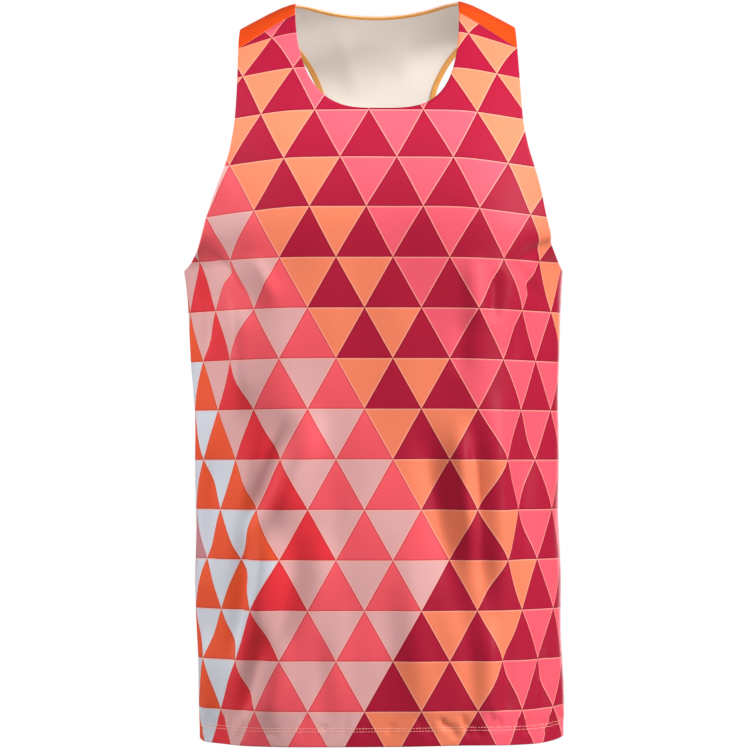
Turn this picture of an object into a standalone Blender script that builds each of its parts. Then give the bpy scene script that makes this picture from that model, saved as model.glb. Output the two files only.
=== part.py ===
"""Running singlet: a sleeveless knit top with a deep round neck and a racer back, worn shape, nobody in it.

Metres, +Z up. The wearer faces -Y and +X is their left. The origin is midway between the two shoulder straps,
on the line where the straps cross the top of the shoulders. Sizes below are in millimetres of cloth.

Four kinds of pieces are cut: a front panel, a back panel that wraps over the shoulders to a seam on the front of
each strap, a tape inside the back neck, and a tape inside each back armhole. Each one is drawn in flat cloth
coordinates, across from the centre line and down from the shoulder line, and is laid on one worn form. Each panel
is one piece of cloth, and its solid is parted level with the armpits so that both halves are simple shapes.
"""

import math
from collections import namedtuple

import bmesh
import bpy
from mathutils import Vector
from mathutils.bvhtree import BVHTree

MM = 0.001

# Driving sizes
BODY_LENGTH = 696.0  # from the shoulder line at the neck down to the hem
WALL = 1.2  # cloth, drawn thicker than the knit so that its wall is a sound solid
SEAM_GAP = 0.3  # between two pieces that a seam joins
WALL_LEAN = 0.17  # how far a wall's cut end leans past its edge where the form is still turning
CUT_BACK = SEAM_GAP / 2 + WALL_LEAN  # how far each solid ends before its seam or parting line
ARMPIT_DROP = 250.0  # level of the bottom of the armholes, at the centre line

NECK_HALF = 77.0  # half width of the neck between the straps
NECK_CURVE_DROP = 0.0  # level where the front neck starts to curve in
FRONT_NECK_DROP = 103.5  # lowest point of the front neck
FRONT_NECK_POWER = 3.0  # squareness of the front neck's curve
BACK_NECK_DOWN = 52.0  # cloth from the shoulder line to the lowest point of the back neck

SHOULDER_SEAM_NECK = 38.0  # cloth from the shoulder line forward to the seam, at the neck
SHOULDER_SEAM_ARM = 66.0  # the same at the armhole

FRONT_CORNER_REACH = 34.0  # how far before and after a corner of the form its rounding runs
BACK_CORNER_REACH = 55.0
CROWN = 4.0  # how far the middle of a flat face stands out past its corners
CROWN_DROP = 150.0  # level by which the crown has its full height
FALL_START = 82.0  # distance from the centre where levels begin to fall towards the sides
FALL_SOFTNESS = 14.0
FALL_SPAN = 52.0

TAPE_WIDTH = 7.0
TAPE_THICKNESS = 1.0
TAPE_CLEARANCE = 1.1  # between a tape and the inner face that carries it
CARRIER_REACH = 3.6  # how far inside the form's face that inner face is looked for

# How the form's sections are drawn
CROWN_QUARTER = 4  # the crown's bend is centred at a quarter of the flat face
CROWN_REACH = 5  # and reaches a fifth of the face to each side
CORNER_SHARE = 0.45  # a corner's rounding takes at most this much of the way to the side
LEAST_EASE = 0.5  # below this the side runs straight to its seam
NORMAL_STEP = 0.5  # between the points that a surface direction is taken from
CLOSE = 0.001  # how near a searched place is found
MERGE = 0.01  # corners of two grids nearer than this are one corner

# Mesh density
HALF_COLUMNS = 16
STRAP_COLUMN = HALF_COLUMNS // 2  # column where the neck edge turns up beside a strap
BODY_ROWS = 10
CHEST_ROWS = 9  # front, from the armpits to the straps
YOKE_ROWS = 22  # back, from the armpits to the straps
STRAP_ROWS = 8
ROW_CROWDING = 1.5  # above 1 the rows crowd towards the armpits
TAPE_STEPS = 44
CORNER_STEPS = 6
NECK_EDGE_STEPS = 24  # chords of half the back neck's edge
ARMHOLE_EDGE_STEPS = 120  # chords of a back armhole's edge

# The worn form: one ring a row, from the shoulder line down to the hem.
#   drop    level of the ring below the shoulder line, at the centre line
#   depth   where its flat face lies, forwards (-) or backwards (+)
#   corner  half width of that flat face
#   left, right  half width of the ring at its side seam, or where its side would be
#   side    depth of the side seam
#   ease    how far the side turns straight back before the seam
#   fall    how much lower the ring runs at the sides
Ring = namedtuple("Ring", "drop depth corner left right side ease fall")

FRONT_RINGS = (
    Ring(0, 0, 90, 190, 190, 0, 0, 29),
    Ring(6, -24, 90, 190, 190, -15, 0, 25),
    Ring(20, -45, 90, 190, 190, -30, 0, 20),
    Ring(38, -62, 90, 190, 190, -43, 0, 15),
    Ring(58, -77, 90, 190, 190, -55, 0, 11),
    Ring(80, -89, 90, 190, 190, -63, 0, 9),
    Ring(103, -99, 88, 190, 190, -70, 0, 8),
    Ring(141, -112, 90, 190, 190, -76, 0, 7),
    Ring(180, -121, 104, 190, 190, -68, 0, 7),
    Ring(212, -124, 114, 190, 187, -58, 4, 5),
    Ring(ARMPIT_DROP, -124, 119, 181, 175, -12, 20, 2),
    Ring(300, -124, 116, 177, 172, -12, 20, 2),
    Ring(400, -122, 113, 173, 171, -10, 20, 1),
    Ring(550, -119, 113, 170, 174, -8, 20, 0),
    Ring(BODY_LENGTH, -116, 113, 167, 177, -6, 20, 0),
)

BACK_RINGS = (
    Ring(0, 0, 90, 190, 190, 0, 0, 29),
    Ring(1.5, 25, 90, 190, 190, 20, 0, 27),
    Ring(9.5, 49, 90, 190, 190, 40, 0, 22),
    Ring(20, 66, 90, 190, 190, 54, 0, 16),
    Ring(38, 82, 90, 190, 190, 66, 0, 12),
    Ring(69, 98, 90, 190, 190, 78, 0, 9),
    Ring(108, 108, 90, 190, 190, 84, 0, 8),
    Ring(148, 112, 92, 190, 190, 80, 0, 7),
    Ring(200, 113, 98, 190, 187, 52, 4, 5),
    Ring(ARMPIT_DROP, 112, 100, 181, 175, -12, 20, 2),
    Ring(300, 110, 100, 177, 172, -12, 20, 2),
    Ring(400, 105, 100, 173, 171, -10, 20, 1),
    Ring(550, 103, 100, 170, 174, -8, 20, 0),
    Ring(BODY_LENGTH, 106, 100, 167, 177, -6, 20, 0),
)

# Armhole edges: half width of each panel at a level, seen from the front or the back, down to the armpit.
Edge = namedtuple("Edge", "drop left right")

FRONT_ARMHOLE = (
    Edge(0, 129, 130),
    Edge(20, 130, 131),
    Edge(60, 130.5, 133),
    Edge(105, 132.5, 136),
    Edge(132, 136.5, 141),
    Edge(148, 141, 146),
    Edge(170, 150, 152.5),
    Edge(194, 159, 157.5),
    Edge(212, 163.5, 161.5),
    Edge(229, 168, 165),
    Edge(241, 174, 170),
    Edge(ARMPIT_DROP, 181, 175),
)

BACK_ARMHOLE = (
    Edge(0, 129, 130),
    Edge(1.5, 127, 128),
    Edge(9, 118, 119),
    Edge(20, 101, 102),
    Edge(38, 81, 82),
    Edge(60, 63.5, 64),
    Edge(80, 56.5, 57),
    Edge(105, 52, 52),
    Edge(140, 51, 51),
    Edge(170, 59, 59),
    Edge(195, 77, 76),
    Edge(215, 105, 103),
    Edge(230, 137, 134),
    Edge(241, 163, 158),
    Edge(ARMPIT_DROP, 181, 175),
)

# Colour, roughness of the cloth and of the tapes
CORAL_KNIT = ((0.86, 0.13, 0.15), 0.62)
CRIMSON_KNIT = ((0.53, 0.02, 0.07), 0.62)
AMBER_TAPE = ((0.76, 0.34, 0.07), 0.7)


def mix(a, b, share):
    return a + (b - a) * share


def smooth_through(knots, values, at):
    """Value at a place on a smooth curve through the knots that never overshoots them."""
    last = len(knots) - 1
    if at <= knots[0]:
        return values[0]
    if at >= knots[last]:
        return values[last]
    i = max(k for k in range(last) if knots[k] <= at)

    def rise(k):
        return (values[k + 1] - values[k]) / (knots[k + 1] - knots[k])

    def slope(k):
        if k in (0, last):
            return rise(min(k, last - 1))
        before, after = rise(k - 1), rise(k)
        return 2 * before * after / (before + after) if before * after > 0 else 0.0

    span = knots[i + 1] - knots[i]
    u = (at - knots[i]) / span
    start = (2 * u**3 - 3 * u**2 + 1) * values[i] + (u**3 - 2 * u**2 + u) * span * slope(i)
    end = (3 * u**2 - 2 * u**3) * values[i + 1] + (u**3 - u**2) * span * slope(i + 1)
    return start + end


def turning_place(low, high, is_before):
    """Where a test that holds at low stops holding on the way to high."""
    while high - low > CLOSE:
        middle = (low + high) / 2
        low, high = (middle, high) if is_before(middle) else (low, middle)
    return (low + high) / 2


class Trail:
    """A line of points that is walked by its length."""

    def __init__(self, points):
        self.points = points
        self.marks = [0.0]
        for a, b in zip(points, points[1:]):
            self.marks.append(self.marks[-1] + math.dist(a, b))
        self.length = self.marks[-1]

    def at(self, distance):
        distance = min(max(distance, 0.0), self.length)
        i = next(k for k in range(1, len(self.marks)) if self.marks[k] >= distance)
        span = self.marks[i] - self.marks[i - 1]
        share = (distance - self.marks[i - 1]) / span if span else 0.0
        return tuple(mix(a, b, share) for a, b in zip(self.points[i - 1], self.points[i]))


def rounded_corner(before, corner, after, reach):
    """Points of the curve that rounds a corner, from reach before it to reach after it."""
    start = Vector(corner) + (Vector(before) - Vector(corner)).normalized() * reach
    end = Vector(corner) + (Vector(after) - Vector(corner)).normalized() * reach
    points = []
    for k in range(CORNER_STEPS + 1):
        u = k / CORNER_STEPS
        points.append(tuple((1 - u) ** 2 * start + 2 * u * (1 - u) * Vector(corner) + u**2 * end))
    return points


def sideways_fall(x):
    """Share of a ring's fall at a distance from the centre: level at the middle, then a steady slope."""
    past = x - FALL_START
    return (past + math.hypot(past, FALL_SOFTNESS)) / 2 / FALL_SPAN


class Face:
    """The front or the back of the worn form, which takes flat cloth to its place."""

    def __init__(self, rings, corner_reach, outwards):
        self.rings = rings
        self.corner_reach = corner_reach
        self.outwards = outwards  # -1 where the face looks forwards, +1 where it looks back
        self.downs = [0.0]
        for a, b in zip(rings, rings[1:]):
            self.downs.append(self.downs[-1] + math.hypot(b.drop - a.drop, b.depth - a.depth))

    def ring(self, down):
        """The ring at a distance of cloth below the shoulder line."""
        return Ring(*(smooth_through(self.downs, column, down) for column in zip(*self.rings)))

    def down_at(self, drop):
        """The cloth distance at which the centre line reaches a level."""
        return turning_place(0.0, self.downs[-1], lambda down: self.ring(down).drop < drop)

    def section(self, ring, hand):
        """Half of a ring seen from above, from the centre line to the side seam."""
        width = ring.left if hand < 0 else ring.right
        crown = CROWN * min(ring.drop / CROWN_DROP, 1.0)
        centre = (0.0, ring.depth)
        quarter = (ring.corner / CROWN_QUARTER, ring.depth)
        corner = (ring.corner, ring.depth - self.outwards * crown)
        turn = (width, ring.side + self.outwards * ring.ease)
        reach = min(self.corner_reach, ring.corner / 2, CORNER_SHARE * math.dist(corner, turn))
        points = [centre] + rounded_corner(centre, quarter, corner, ring.corner / CROWN_REACH)
        points += rounded_corner(quarter, corner, turn, reach)
        if ring.ease > LEAST_EASE:
            points += rounded_corner(corner, turn, (width, ring.side), ring.ease)
        else:
            points.append(turn)
        return Trail(points)

    def width(self, down, hand):
        """Cloth from the centre line to the side seam."""
        return self.section(self.ring(down), hand).length

    def across_at(self, half_width, down, hand):
        """The cloth distance across at which the form reaches a half width seen from the front."""
        trail = self.section(self.ring(down), hand)
        return turning_place(0.0, trail.length, lambda across: trail.at(across)[0] < half_width)

    def place(self, across, down):
        """Where a point of the flat cloth lies on the form."""
        if down < 0:
            return FRONT.place(across, -down)
        ring = self.ring(down)
        hand = -1 if across < 0 else 1
        x, y = self.section(ring, hand).at(abs(across))
        fall = ring.fall * (sideways_fall(x) - sideways_fall(NECK_HALF))
        return Vector((hand * x, y, -ring.drop - fall)) * MM

    def normal(self, across, down):
        """Outward direction of the cloth at a point."""
        sideways = self.place(across + NORMAL_STEP, down) - self.place(across - NORMAL_STEP, down)
        upwards = self.place(across, down - NORMAL_STEP) - self.place(across, down + NORMAL_STEP)
        return (sideways.cross(upwards) * -self.outwards).normalized()


FRONT = Face(FRONT_RINGS, FRONT_CORNER_REACH, -1)
BACK = Face(BACK_RINGS, BACK_CORNER_REACH, 1)


def armhole_across(face, edges, down, hand):
    """Cloth from the centre line to the armhole edge, or to the side seam below the armpit."""
    drop = face.ring(down).drop
    if drop >= ARMPIT_DROP - 2 * CLOSE:
        return face.width(down, hand) - CUT_BACK
    widths = [edge.left if hand < 0 else edge.right for edge in edges]
    half_width = smooth_through([edge.drop for edge in edges], widths, drop)
    return min(face.across_at(half_width, down, hand), face.width(down, hand) - CUT_BACK)


def front_edge(down, hand):
    return armhole_across(FRONT, FRONT_ARMHOLE, down, hand)


def back_edge(down, hand):
    if down < 0:
        return front_edge(-down, hand)
    return armhole_across(BACK, BACK_ARMHOLE, down, hand)


def front_neck_side(down):
    """Half width of the front neck at a level between the shoulder seam and its lowest point."""
    start = FRONT.down_at(NECK_CURVE_DROP)
    bottom = FRONT.down_at(FRONT_NECK_DROP)
    share = min(max((down - start) / (bottom - start), 0.0), 1.0)
    return NECK_HALF * (1 - share**FRONT_NECK_POWER) ** (1 / FRONT_NECK_POWER)


def front_neck_bottom(across):
    """Level of the front neck's edge at a distance from the centre line."""
    start = FRONT.down_at(NECK_CURVE_DROP)
    bottom = FRONT.down_at(FRONT_NECK_DROP)
    share = min(abs(across) / NECK_HALF, 1.0)
    return start + (bottom - start) * (1 - share**FRONT_NECK_POWER) ** (1 / FRONT_NECK_POWER)


def back_neck_side(down):
    """Half width of the back neck: half an ellipse, then straight over the shoulder to the seam."""
    return NECK_HALF * math.sqrt(1 - min(max(down / BACK_NECK_DOWN, 0.0), 1.0) ** 2)


def back_neck_bottom(across):
    return BACK_NECK_DOWN * math.sqrt(1 - min(abs(across) / NECK_HALF, 1.0) ** 2)


def front_seam(share):
    """Where a front strap ends, from the neck (0) to the armhole (1)."""
    return mix(SHOULDER_SEAM_NECK, SHOULDER_SEAM_ARM, share) + CUT_BACK


def back_seam(share):
    """Where the back panel ends on the front of the shoulder, as cloth before the shoulder line."""
    return CUT_BACK - mix(SHOULDER_SEAM_NECK, SHOULDER_SEAM_ARM, share)


# How a panel is cut: the face it covers, its outer edge, the neck's bottom and sides, its shoulder seam
Cut = namedtuple("Cut", "face edge neck_bottom neck_side seam rows")
FRONT_CUT = Cut(FRONT, front_edge, front_neck_bottom, front_neck_side, front_seam, CHEST_ROWS)
BACK_CUT = Cut(BACK, back_edge, back_neck_bottom, back_neck_side, back_seam, YOKE_ROWS)


def strap_start(cut, hand):
    """Level where the neck edge is as far out as its column: the straps begin there."""
    share = STRAP_COLUMN / HALF_COLUMNS
    return turning_place(
        0.0, cut.neck_bottom(0.0), lambda down: cut.neck_side(down) > share * cut.edge(down, hand)
    )


def body_levels(face):
    """Cloth distances of the rows between the armpit and the hem, the same levels on both panels."""
    drops = [mix(ARMPIT_DROP, BODY_LENGTH, k / BODY_ROWS) for k in range(BODY_ROWS + 1)]
    return [face.down_at(drop) for drop in drops]


def lay_grid(columns, rows, flat_point, face):
    """A grid of cloth whose corners 0..columns, 0..rows are laid on the form by their flat place."""
    mesh = bmesh.new()
    bmesh.ops.create_grid(mesh, x_segments=columns, y_segments=rows, size=0.5)
    for vert in mesh.verts:
        column = round((vert.co.x + 0.5) * columns)
        row = round((vert.co.y + 0.5) * rows)
        vert.co = face.place(*flat_point(column, row))
    return mesh


def join_grids(grids):
    """One sheet from several grids that share their edges."""
    whole = bmesh.new()
    for grid in grids:
        part = bpy.data.meshes.new("grid")
        grid.to_mesh(part)
        grid.free()
        whole.from_mesh(part)
        bpy.data.meshes.remove(part)
    bmesh.ops.remove_doubles(whole, verts=whole.verts, dist=MERGE * MM)
    bmesh.ops.recalc_face_normals(whole, faces=whole.faces)
    return whole


def face_outwards(sheet):
    """Turn a sheet's faces away from the garment's middle line."""
    lowest = min(sheet.faces, key=lambda face: face.calc_center_median().z)
    outwards = lowest.calc_center_median().xy
    if lowest.normal.xy.dot(outwards) < 0:
        bmesh.ops.reverse_faces(sheet, faces=sheet.faces)


def cloth_material(name, colour, roughness):
    material = bpy.data.materials.new(name)
    material.use_nodes = True
    shader = material.node_tree.nodes["Principled BSDF"]
    shader.inputs["Base Color"].default_value = (*colour, 1.0)
    shader.inputs["Roughness"].default_value = roughness
    shader.inputs["Metallic"].default_value = 0.0
    return material


def make_piece(name, sheet, finish, thickness, collection):
    """A solid piece of cloth: the sheet is its outer face and the wall grows inwards."""
    mesh = bpy.data.meshes.new(name)
    sheet.to_mesh(mesh)
    sheet.free()
    piece = bpy.data.objects.new(name, mesh)
    collection.objects.link(piece)
    mesh.materials.append(cloth_material(name + "_cloth", *finish))
    mesh.shade_smooth()
    wall = piece.modifiers.new("wall", "SOLIDIFY")
    wall.thickness = thickness * MM
    wall.offset = -1.0
    return piece


def body_sheet(cut):
    """A panel's outer face from the hem up to the armpits."""
    levels = body_levels(cut.face)
    levels[0] += CUT_BACK

    def on_body(column, row):
        share = (column - HALF_COLUMNS) / HALF_COLUMNS
        down = levels[BODY_ROWS - row]
        return share * cut.edge(down, -1 if share < 0 else 1), down

    sheet = join_grids([lay_grid(2 * HALF_COLUMNS, BODY_ROWS, on_body, cut.face)])
    face_outwards(sheet)
    return sheet


def upper_sheet(cut):
    """A panel's outer face from the armpits up: the chest or yoke with the neck cut out, and the two straps."""
    armpit = cut.face.down_at(ARMPIT_DROP) - CUT_BACK
    starts = {hand: strap_start(cut, hand) for hand in (-1, 1)}

    def on_chest(column, row):
        share = (column - HALF_COLUMNS) / HALF_COLUMNS
        hand = -1 if share < 0 else 1
        climb = (row / cut.rows) ** ROW_CROWDING
        width = cut.edge(mix(armpit, starts[hand], climb), hand)
        top = starts[hand]
        if abs(column - HALF_COLUMNS) < STRAP_COLUMN:
            top = cut.neck_bottom(share * cut.edge(top, hand))
        return share * width, mix(armpit, top, climb)

    def on_strap(hand):
        def flat_point(column, row):
            share = column / (HALF_COLUMNS - STRAP_COLUMN)
            down = mix(starts[hand], cut.seam(share), row / STRAP_ROWS)
            return hand * mix(cut.neck_side(down), cut.edge(down, hand), share), down

        return flat_point

    grids = [lay_grid(2 * HALF_COLUMNS, cut.rows, on_chest, cut.face)]
    for hand in (-1, 1):
        grids.append(lay_grid(HALF_COLUMNS - STRAP_COLUMN, STRAP_ROWS, on_strap(hand), cut.face))
    sheet = join_grids(grids)
    face_outwards(sheet)
    return sheet


def front_panel(collection):
    """Front: its body to the armpits, and a chest that narrows along the armholes to a strap each side."""
    make_piece("front_body", body_sheet(FRONT_CUT), CORAL_KNIT, WALL, collection)
    make_piece("front_chest", upper_sheet(FRONT_CUT), CORAL_KNIT, WALL, collection)


def back_panel(collection):
    """Back: its body, and a racer yoke whose two straps wrap over the shoulders to the seams on the front."""
    body = make_piece("back_body", body_sheet(BACK_CUT), CRIMSON_KNIT, WALL, collection)
    yoke = make_piece("back_yoke", upper_sheet(BACK_CUT), CRIMSON_KNIT, WALL, collection)
    return body, yoke


def back_neck_line():
    """Neck edge of half the back panel, from the centre to the shoulder seam."""
    points = []
    for k in range(NECK_EDGE_STEPS + 1):
        angle = math.pi / 2 * k / NECK_EDGE_STEPS
        points.append((NECK_HALF * math.sin(angle), BACK_NECK_DOWN * math.cos(angle)))
    return points + [(NECK_HALF, back_seam(0))]


def back_armhole_line(hand):
    """Armhole edge of the back panel, from the armpit up to the shoulder seam."""
    bottom, top = BACK.down_at(ARMPIT_DROP), back_seam(1)
    shares = [k / ARMHOLE_EDGE_STEPS for k in range(ARMHOLE_EDGE_STEPS + 1)]
    downs = [mix(bottom, top, share**ROW_CROWDING) for share in shares]
    return [(hand * back_edge(down, hand), down) for down in downs]


def tape(name, edge, inwards, back):
    """A tape inside the back, TAPE_WIDTH wide along one of its edges, carried by the back's own inner wall."""
    scene = bpy.context.evaluated_depsgraph_get()
    carriers = [BVHTree.FromObject(part, scene) for part in back]

    def inner_wall(place):
        found = [carrier.find_nearest(place)[0] for carrier in carriers]
        return min(found, key=lambda wall: (wall - place).length)

    def flat_point(column, row):
        distance = edge.length * column / TAPE_STEPS
        here = Vector(edge.at(distance))
        ahead = Vector(edge.at(distance + 1.0)) - Vector(edge.at(distance - 1.0))
        sideways = Vector((-ahead.y, ahead.x)).normalized() * inwards
        return tuple(here + sideways * TAPE_WIDTH * row)

    mesh = bmesh.new()
    bmesh.ops.create_grid(mesh, x_segments=TAPE_STEPS, y_segments=1, size=0.5)
    for vert in mesh.verts:
        flat = flat_point(round((vert.co.x + 0.5) * TAPE_STEPS), round(vert.co.y + 0.5))
        indoors = -BACK.normal(*flat)
        wall = inner_wall(BACK.place(*flat) + indoors * CARRIER_REACH * MM)
        vert.co = wall + indoors * TAPE_CLEARANCE * MM
    bmesh.ops.recalc_face_normals(mesh, faces=mesh.faces)
    mesh.faces.ensure_lookup_table()
    middle = mesh.faces[TAPE_STEPS // 2]
    flat = flat_point(TAPE_STEPS // 2, 0)
    if middle.normal.dot(BACK.normal(*flat)) < 0:
        bmesh.ops.reverse_faces(mesh, faces=mesh.faces)
    return make_piece(name, mesh, AMBER_TAPE, TAPE_THICKNESS, back[0].users_collection[0])


def neck_tape(back):
    """The tape inside the back neck, from shoulder seam to shoulder seam."""
    half = back_neck_line()
    left = [(-across, down) for across, down in half[:0:-1]]
    return tape("neck_tape", Trail(left + half), 1, back)


def armhole_tape(hand, name, back):
    """The tape inside a back armhole, from the side seam to the shoulder seam."""
    return tape(name, Trail(back_armhole_line(hand)), -hand, back)


def main():
    for thing in list(bpy.data.objects):
        bpy.data.objects.remove(thing, do_unlink=True)
    collection = bpy.data.collections.new("running_singlet")
    bpy.context.scene.collection.children.link(collection)
    front_panel(collection)
    back = back_panel(collection)
    neck_tape(back)
    armhole_tape(-1, "armhole_tape_right", back)
    armhole_tape(1, "armhole_tape_left", back)


main()
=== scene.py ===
"""Running singlet: the looks of a sleeveless printed knit top, worn shape, nobody in it.

The panels are cut in flat cloth coordinates, in millimetres across from the centre line and down from the
shoulder line, and are laid on the worn form of the construction model. Creases push the laid cloth in or out.
The wearer faces -Y and +X is their left. Everything ends up in metres at the frame's origin.
"""

import math
import random
from collections import namedtuple

import bmesh
import bpy
import numpy as np
from bpy.props import FloatProperty, FloatVectorProperty, IntProperty, PointerProperty
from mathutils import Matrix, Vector


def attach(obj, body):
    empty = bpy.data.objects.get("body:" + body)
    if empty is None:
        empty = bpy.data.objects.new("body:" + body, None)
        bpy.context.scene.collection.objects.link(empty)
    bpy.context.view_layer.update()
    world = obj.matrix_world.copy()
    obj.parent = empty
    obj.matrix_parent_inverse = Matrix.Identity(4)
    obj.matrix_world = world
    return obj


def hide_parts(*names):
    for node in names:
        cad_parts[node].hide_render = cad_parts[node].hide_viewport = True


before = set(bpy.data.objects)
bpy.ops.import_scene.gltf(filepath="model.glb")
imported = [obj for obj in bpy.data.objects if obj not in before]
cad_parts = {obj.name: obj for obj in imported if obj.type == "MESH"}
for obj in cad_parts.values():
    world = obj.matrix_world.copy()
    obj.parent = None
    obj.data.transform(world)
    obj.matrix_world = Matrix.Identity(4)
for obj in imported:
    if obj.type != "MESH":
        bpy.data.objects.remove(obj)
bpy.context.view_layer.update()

bl_info = {
    "name": "Running Singlet",
    "version": (1, 0, 0),
    "blender": (4, 5, 0),
    "location": "View3D > Sidebar > Singlet",
    "description": "Builds a printed racer back running singlet, sewn and creased, and its studio",
    "category": "Object",
}

MM = 0.001
BODY = "root"

# ---------------------------------------------------------------------------------------------------------
# The worn form, in millimetres. Its rings and edges are the construction model's, to within 4 mm.
# ---------------------------------------------------------------------------------------------------------

BODY_LENGTH = 696.0  # from the shoulder line at the neck down to the hem's fold
ARMPIT_DROP = 250.0
NECK_HALF = 77.0
NECK_CURVE_DROP = 0.0  # where the front neck's curve starts
FRONT_NECK_DROP = 103.5
FRONT_NECK_POWERS = {-1: 3.0, 1: 3.7}  # how square each half of the front neck is
BACK_NECK_DOWN = 52.0
SHOULDER_SEAM_NECK = 38.0  # how far before the shoulder line the seam lies, at the neck
SHOULDER_SEAM_ARM = 66.0  # and at the armhole
FRONT_CORNER_REACH = 34.0  # how far a ring's rounded corner reaches each way
BACK_CORNER_REACH = 55.0
CROWN = 4.0  # how much further out a ring's middle lies than its corners
CROWN_DROP = 150.0  # level at which the crown is whole
CROWN_QUARTER = 4  # the crown bends at a quarter of the flat face's half width
CROWN_REACH = 5  # and its bend reaches a fifth of it each way
CORNER_SHARE = 0.45  # most of the way to the next corner that a round may take
LEAST_EASE = 0.5  # with less the side has no turn before its seam
FALL_START = 82.0  # half width from which a ring falls
FALL_SOFTNESS = 14.0
FALL_SPAN = 52.0  # distance across over which it goes down by its fall
SEAM_CUT_BACK = 0.05  # each panel ends this much before its seam line

TABLE_STEP = 1.0  # spacing of the form's lookup table
TABLE_HALF = 260.0  # how far across it reaches
TABLE_SPARE = 20  # how far past the shoulder seam the back's table reaches
LAST_CELL = 1.001  # keeps a place inside the table's last cell
CORNER_STEPS = 14

#   drop    level of the ring below the shoulder line, at the centre line
#   depth   where its flat face lies, forwards (-) or backwards (+)
#   corner  half width of that flat face
#   left, right  half width of the ring at its side seam, or where its side would be
#   side    depth of the side seam
#   ease    how far the side turns straight back before the seam
#   fall    how much lower the ring runs at the sides
Ring = namedtuple("Ring", "drop depth corner left right side ease fall")

FRONT_RINGS = (
    Ring(0, 0, 90, 190, 190, 0, 0, 29),
    Ring(6, -24, 90, 190, 190, -15, 0, 25),
    Ring(20, -45, 90, 190, 190, -30, 0, 20),
    Ring(38, -62, 90, 190, 190, -43, 0, 15),
    Ring(58, -77, 90, 190, 190, -55, 0, 11),
    Ring(80, -89, 90, 190, 190, -63, 0, 9),
    Ring(103, -99, 88, 190, 190, -70, 0, 8),
    Ring(141, -112, 90, 190, 190, -76, 0, 7),
    Ring(180, -121, 104, 190, 190, -68, 0, 7),
    Ring(212, -124, 114, 190, 187, -58, 4, 5),
    Ring(ARMPIT_DROP, -124, 119, 181, 175, -12, 20, 2),
    Ring(300, -124, 116, 177, 172, -12, 20, 2),
    Ring(400, -122, 113, 173, 171, -10, 20, 1),
    Ring(550, -119, 113, 170, 174, -8, 20, 0),
    Ring(BODY_LENGTH, -116, 113, 167, 175.4, -6, 20, 0),
)

BACK_RINGS = (
    Ring(0, 0, 90, 190, 190, 0, 0, 29),
    Ring(1.5, 25, 90, 190, 190, 20, 0, 27),
    Ring(9.5, 49, 90, 190, 190, 40, 0, 22),
    Ring(20, 66, 90, 190, 190, 54, 0, 16),
    Ring(38, 82, 90, 190, 190, 66, 0, 12),
    Ring(69, 98, 90, 190, 190, 78, 0, 9),
    Ring(108, 108, 90, 190, 190, 84, 0, 8),
    Ring(148, 112, 92, 190, 190, 80, 0, 7),
    Ring(200, 113, 98, 190, 187, 52, 4, 5),
    Ring(ARMPIT_DROP, 112, 100, 181, 175, -12, 20, 2),
    Ring(300, 110, 100, 177, 172, -12, 20, 2),
    Ring(400, 105, 100, 173, 171, -10, 20, 1),
    Ring(550, 103, 100, 170, 174, -8, 20, 0),
    Ring(BODY_LENGTH, 106, 100, 167, 175.4, -6, 20, 0),
)

# Armhole edges: half width of each panel at a level, seen from the front or the back, down to the armpit.
Edge = namedtuple("Edge", "drop left right")

FRONT_ARMHOLE = (
    Edge(0, 129, 130),
    Edge(20, 130, 131),
    Edge(60, 130.5, 133),
    Edge(105, 132.5, 136),
    Edge(132, 136.5, 141),
    Edge(148, 141, 146),
    Edge(170, 150, 152.5),
    Edge(194, 159, 157.5),
    Edge(212, 163.5, 161.5),
    Edge(229, 168, 165),
    Edge(241, 174, 170),
    Edge(ARMPIT_DROP, 181, 175),
)

BACK_ARMHOLE = (
    Edge(0, 129, 130),
    Edge(1.5, 127, 128),
    Edge(9, 118, 119),
    Edge(20, 101, 102),
    Edge(38, 81, 82),
    Edge(60, 65.5, 66),
    Edge(80, 57, 57.5),
    Edge(105, 51, 53.5),
    Edge(140, 51, 51),
    Edge(170, 59, 59),
    Edge(195, 77, 76),
    Edge(215, 105, 103),
    Edge(230, 137, 134),
    Edge(241, 163, 158),
    Edge(ARMPIT_DROP, 181, 175),
)

# ---------------------------------------------------------------------------------------------------------
# Creases, in flat cloth millimetres: a soft trough or ridge between two places.
#   width   how far to each side it dies away
#   depth   how far its middle goes in (above 0, a trough) or out (below 0, a ridge)
#   bow     how far its middle swings sideways off the straight line
# ---------------------------------------------------------------------------------------------------------

Crease = namedtuple("Crease", "across down to_across to_down width depth bow")

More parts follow.
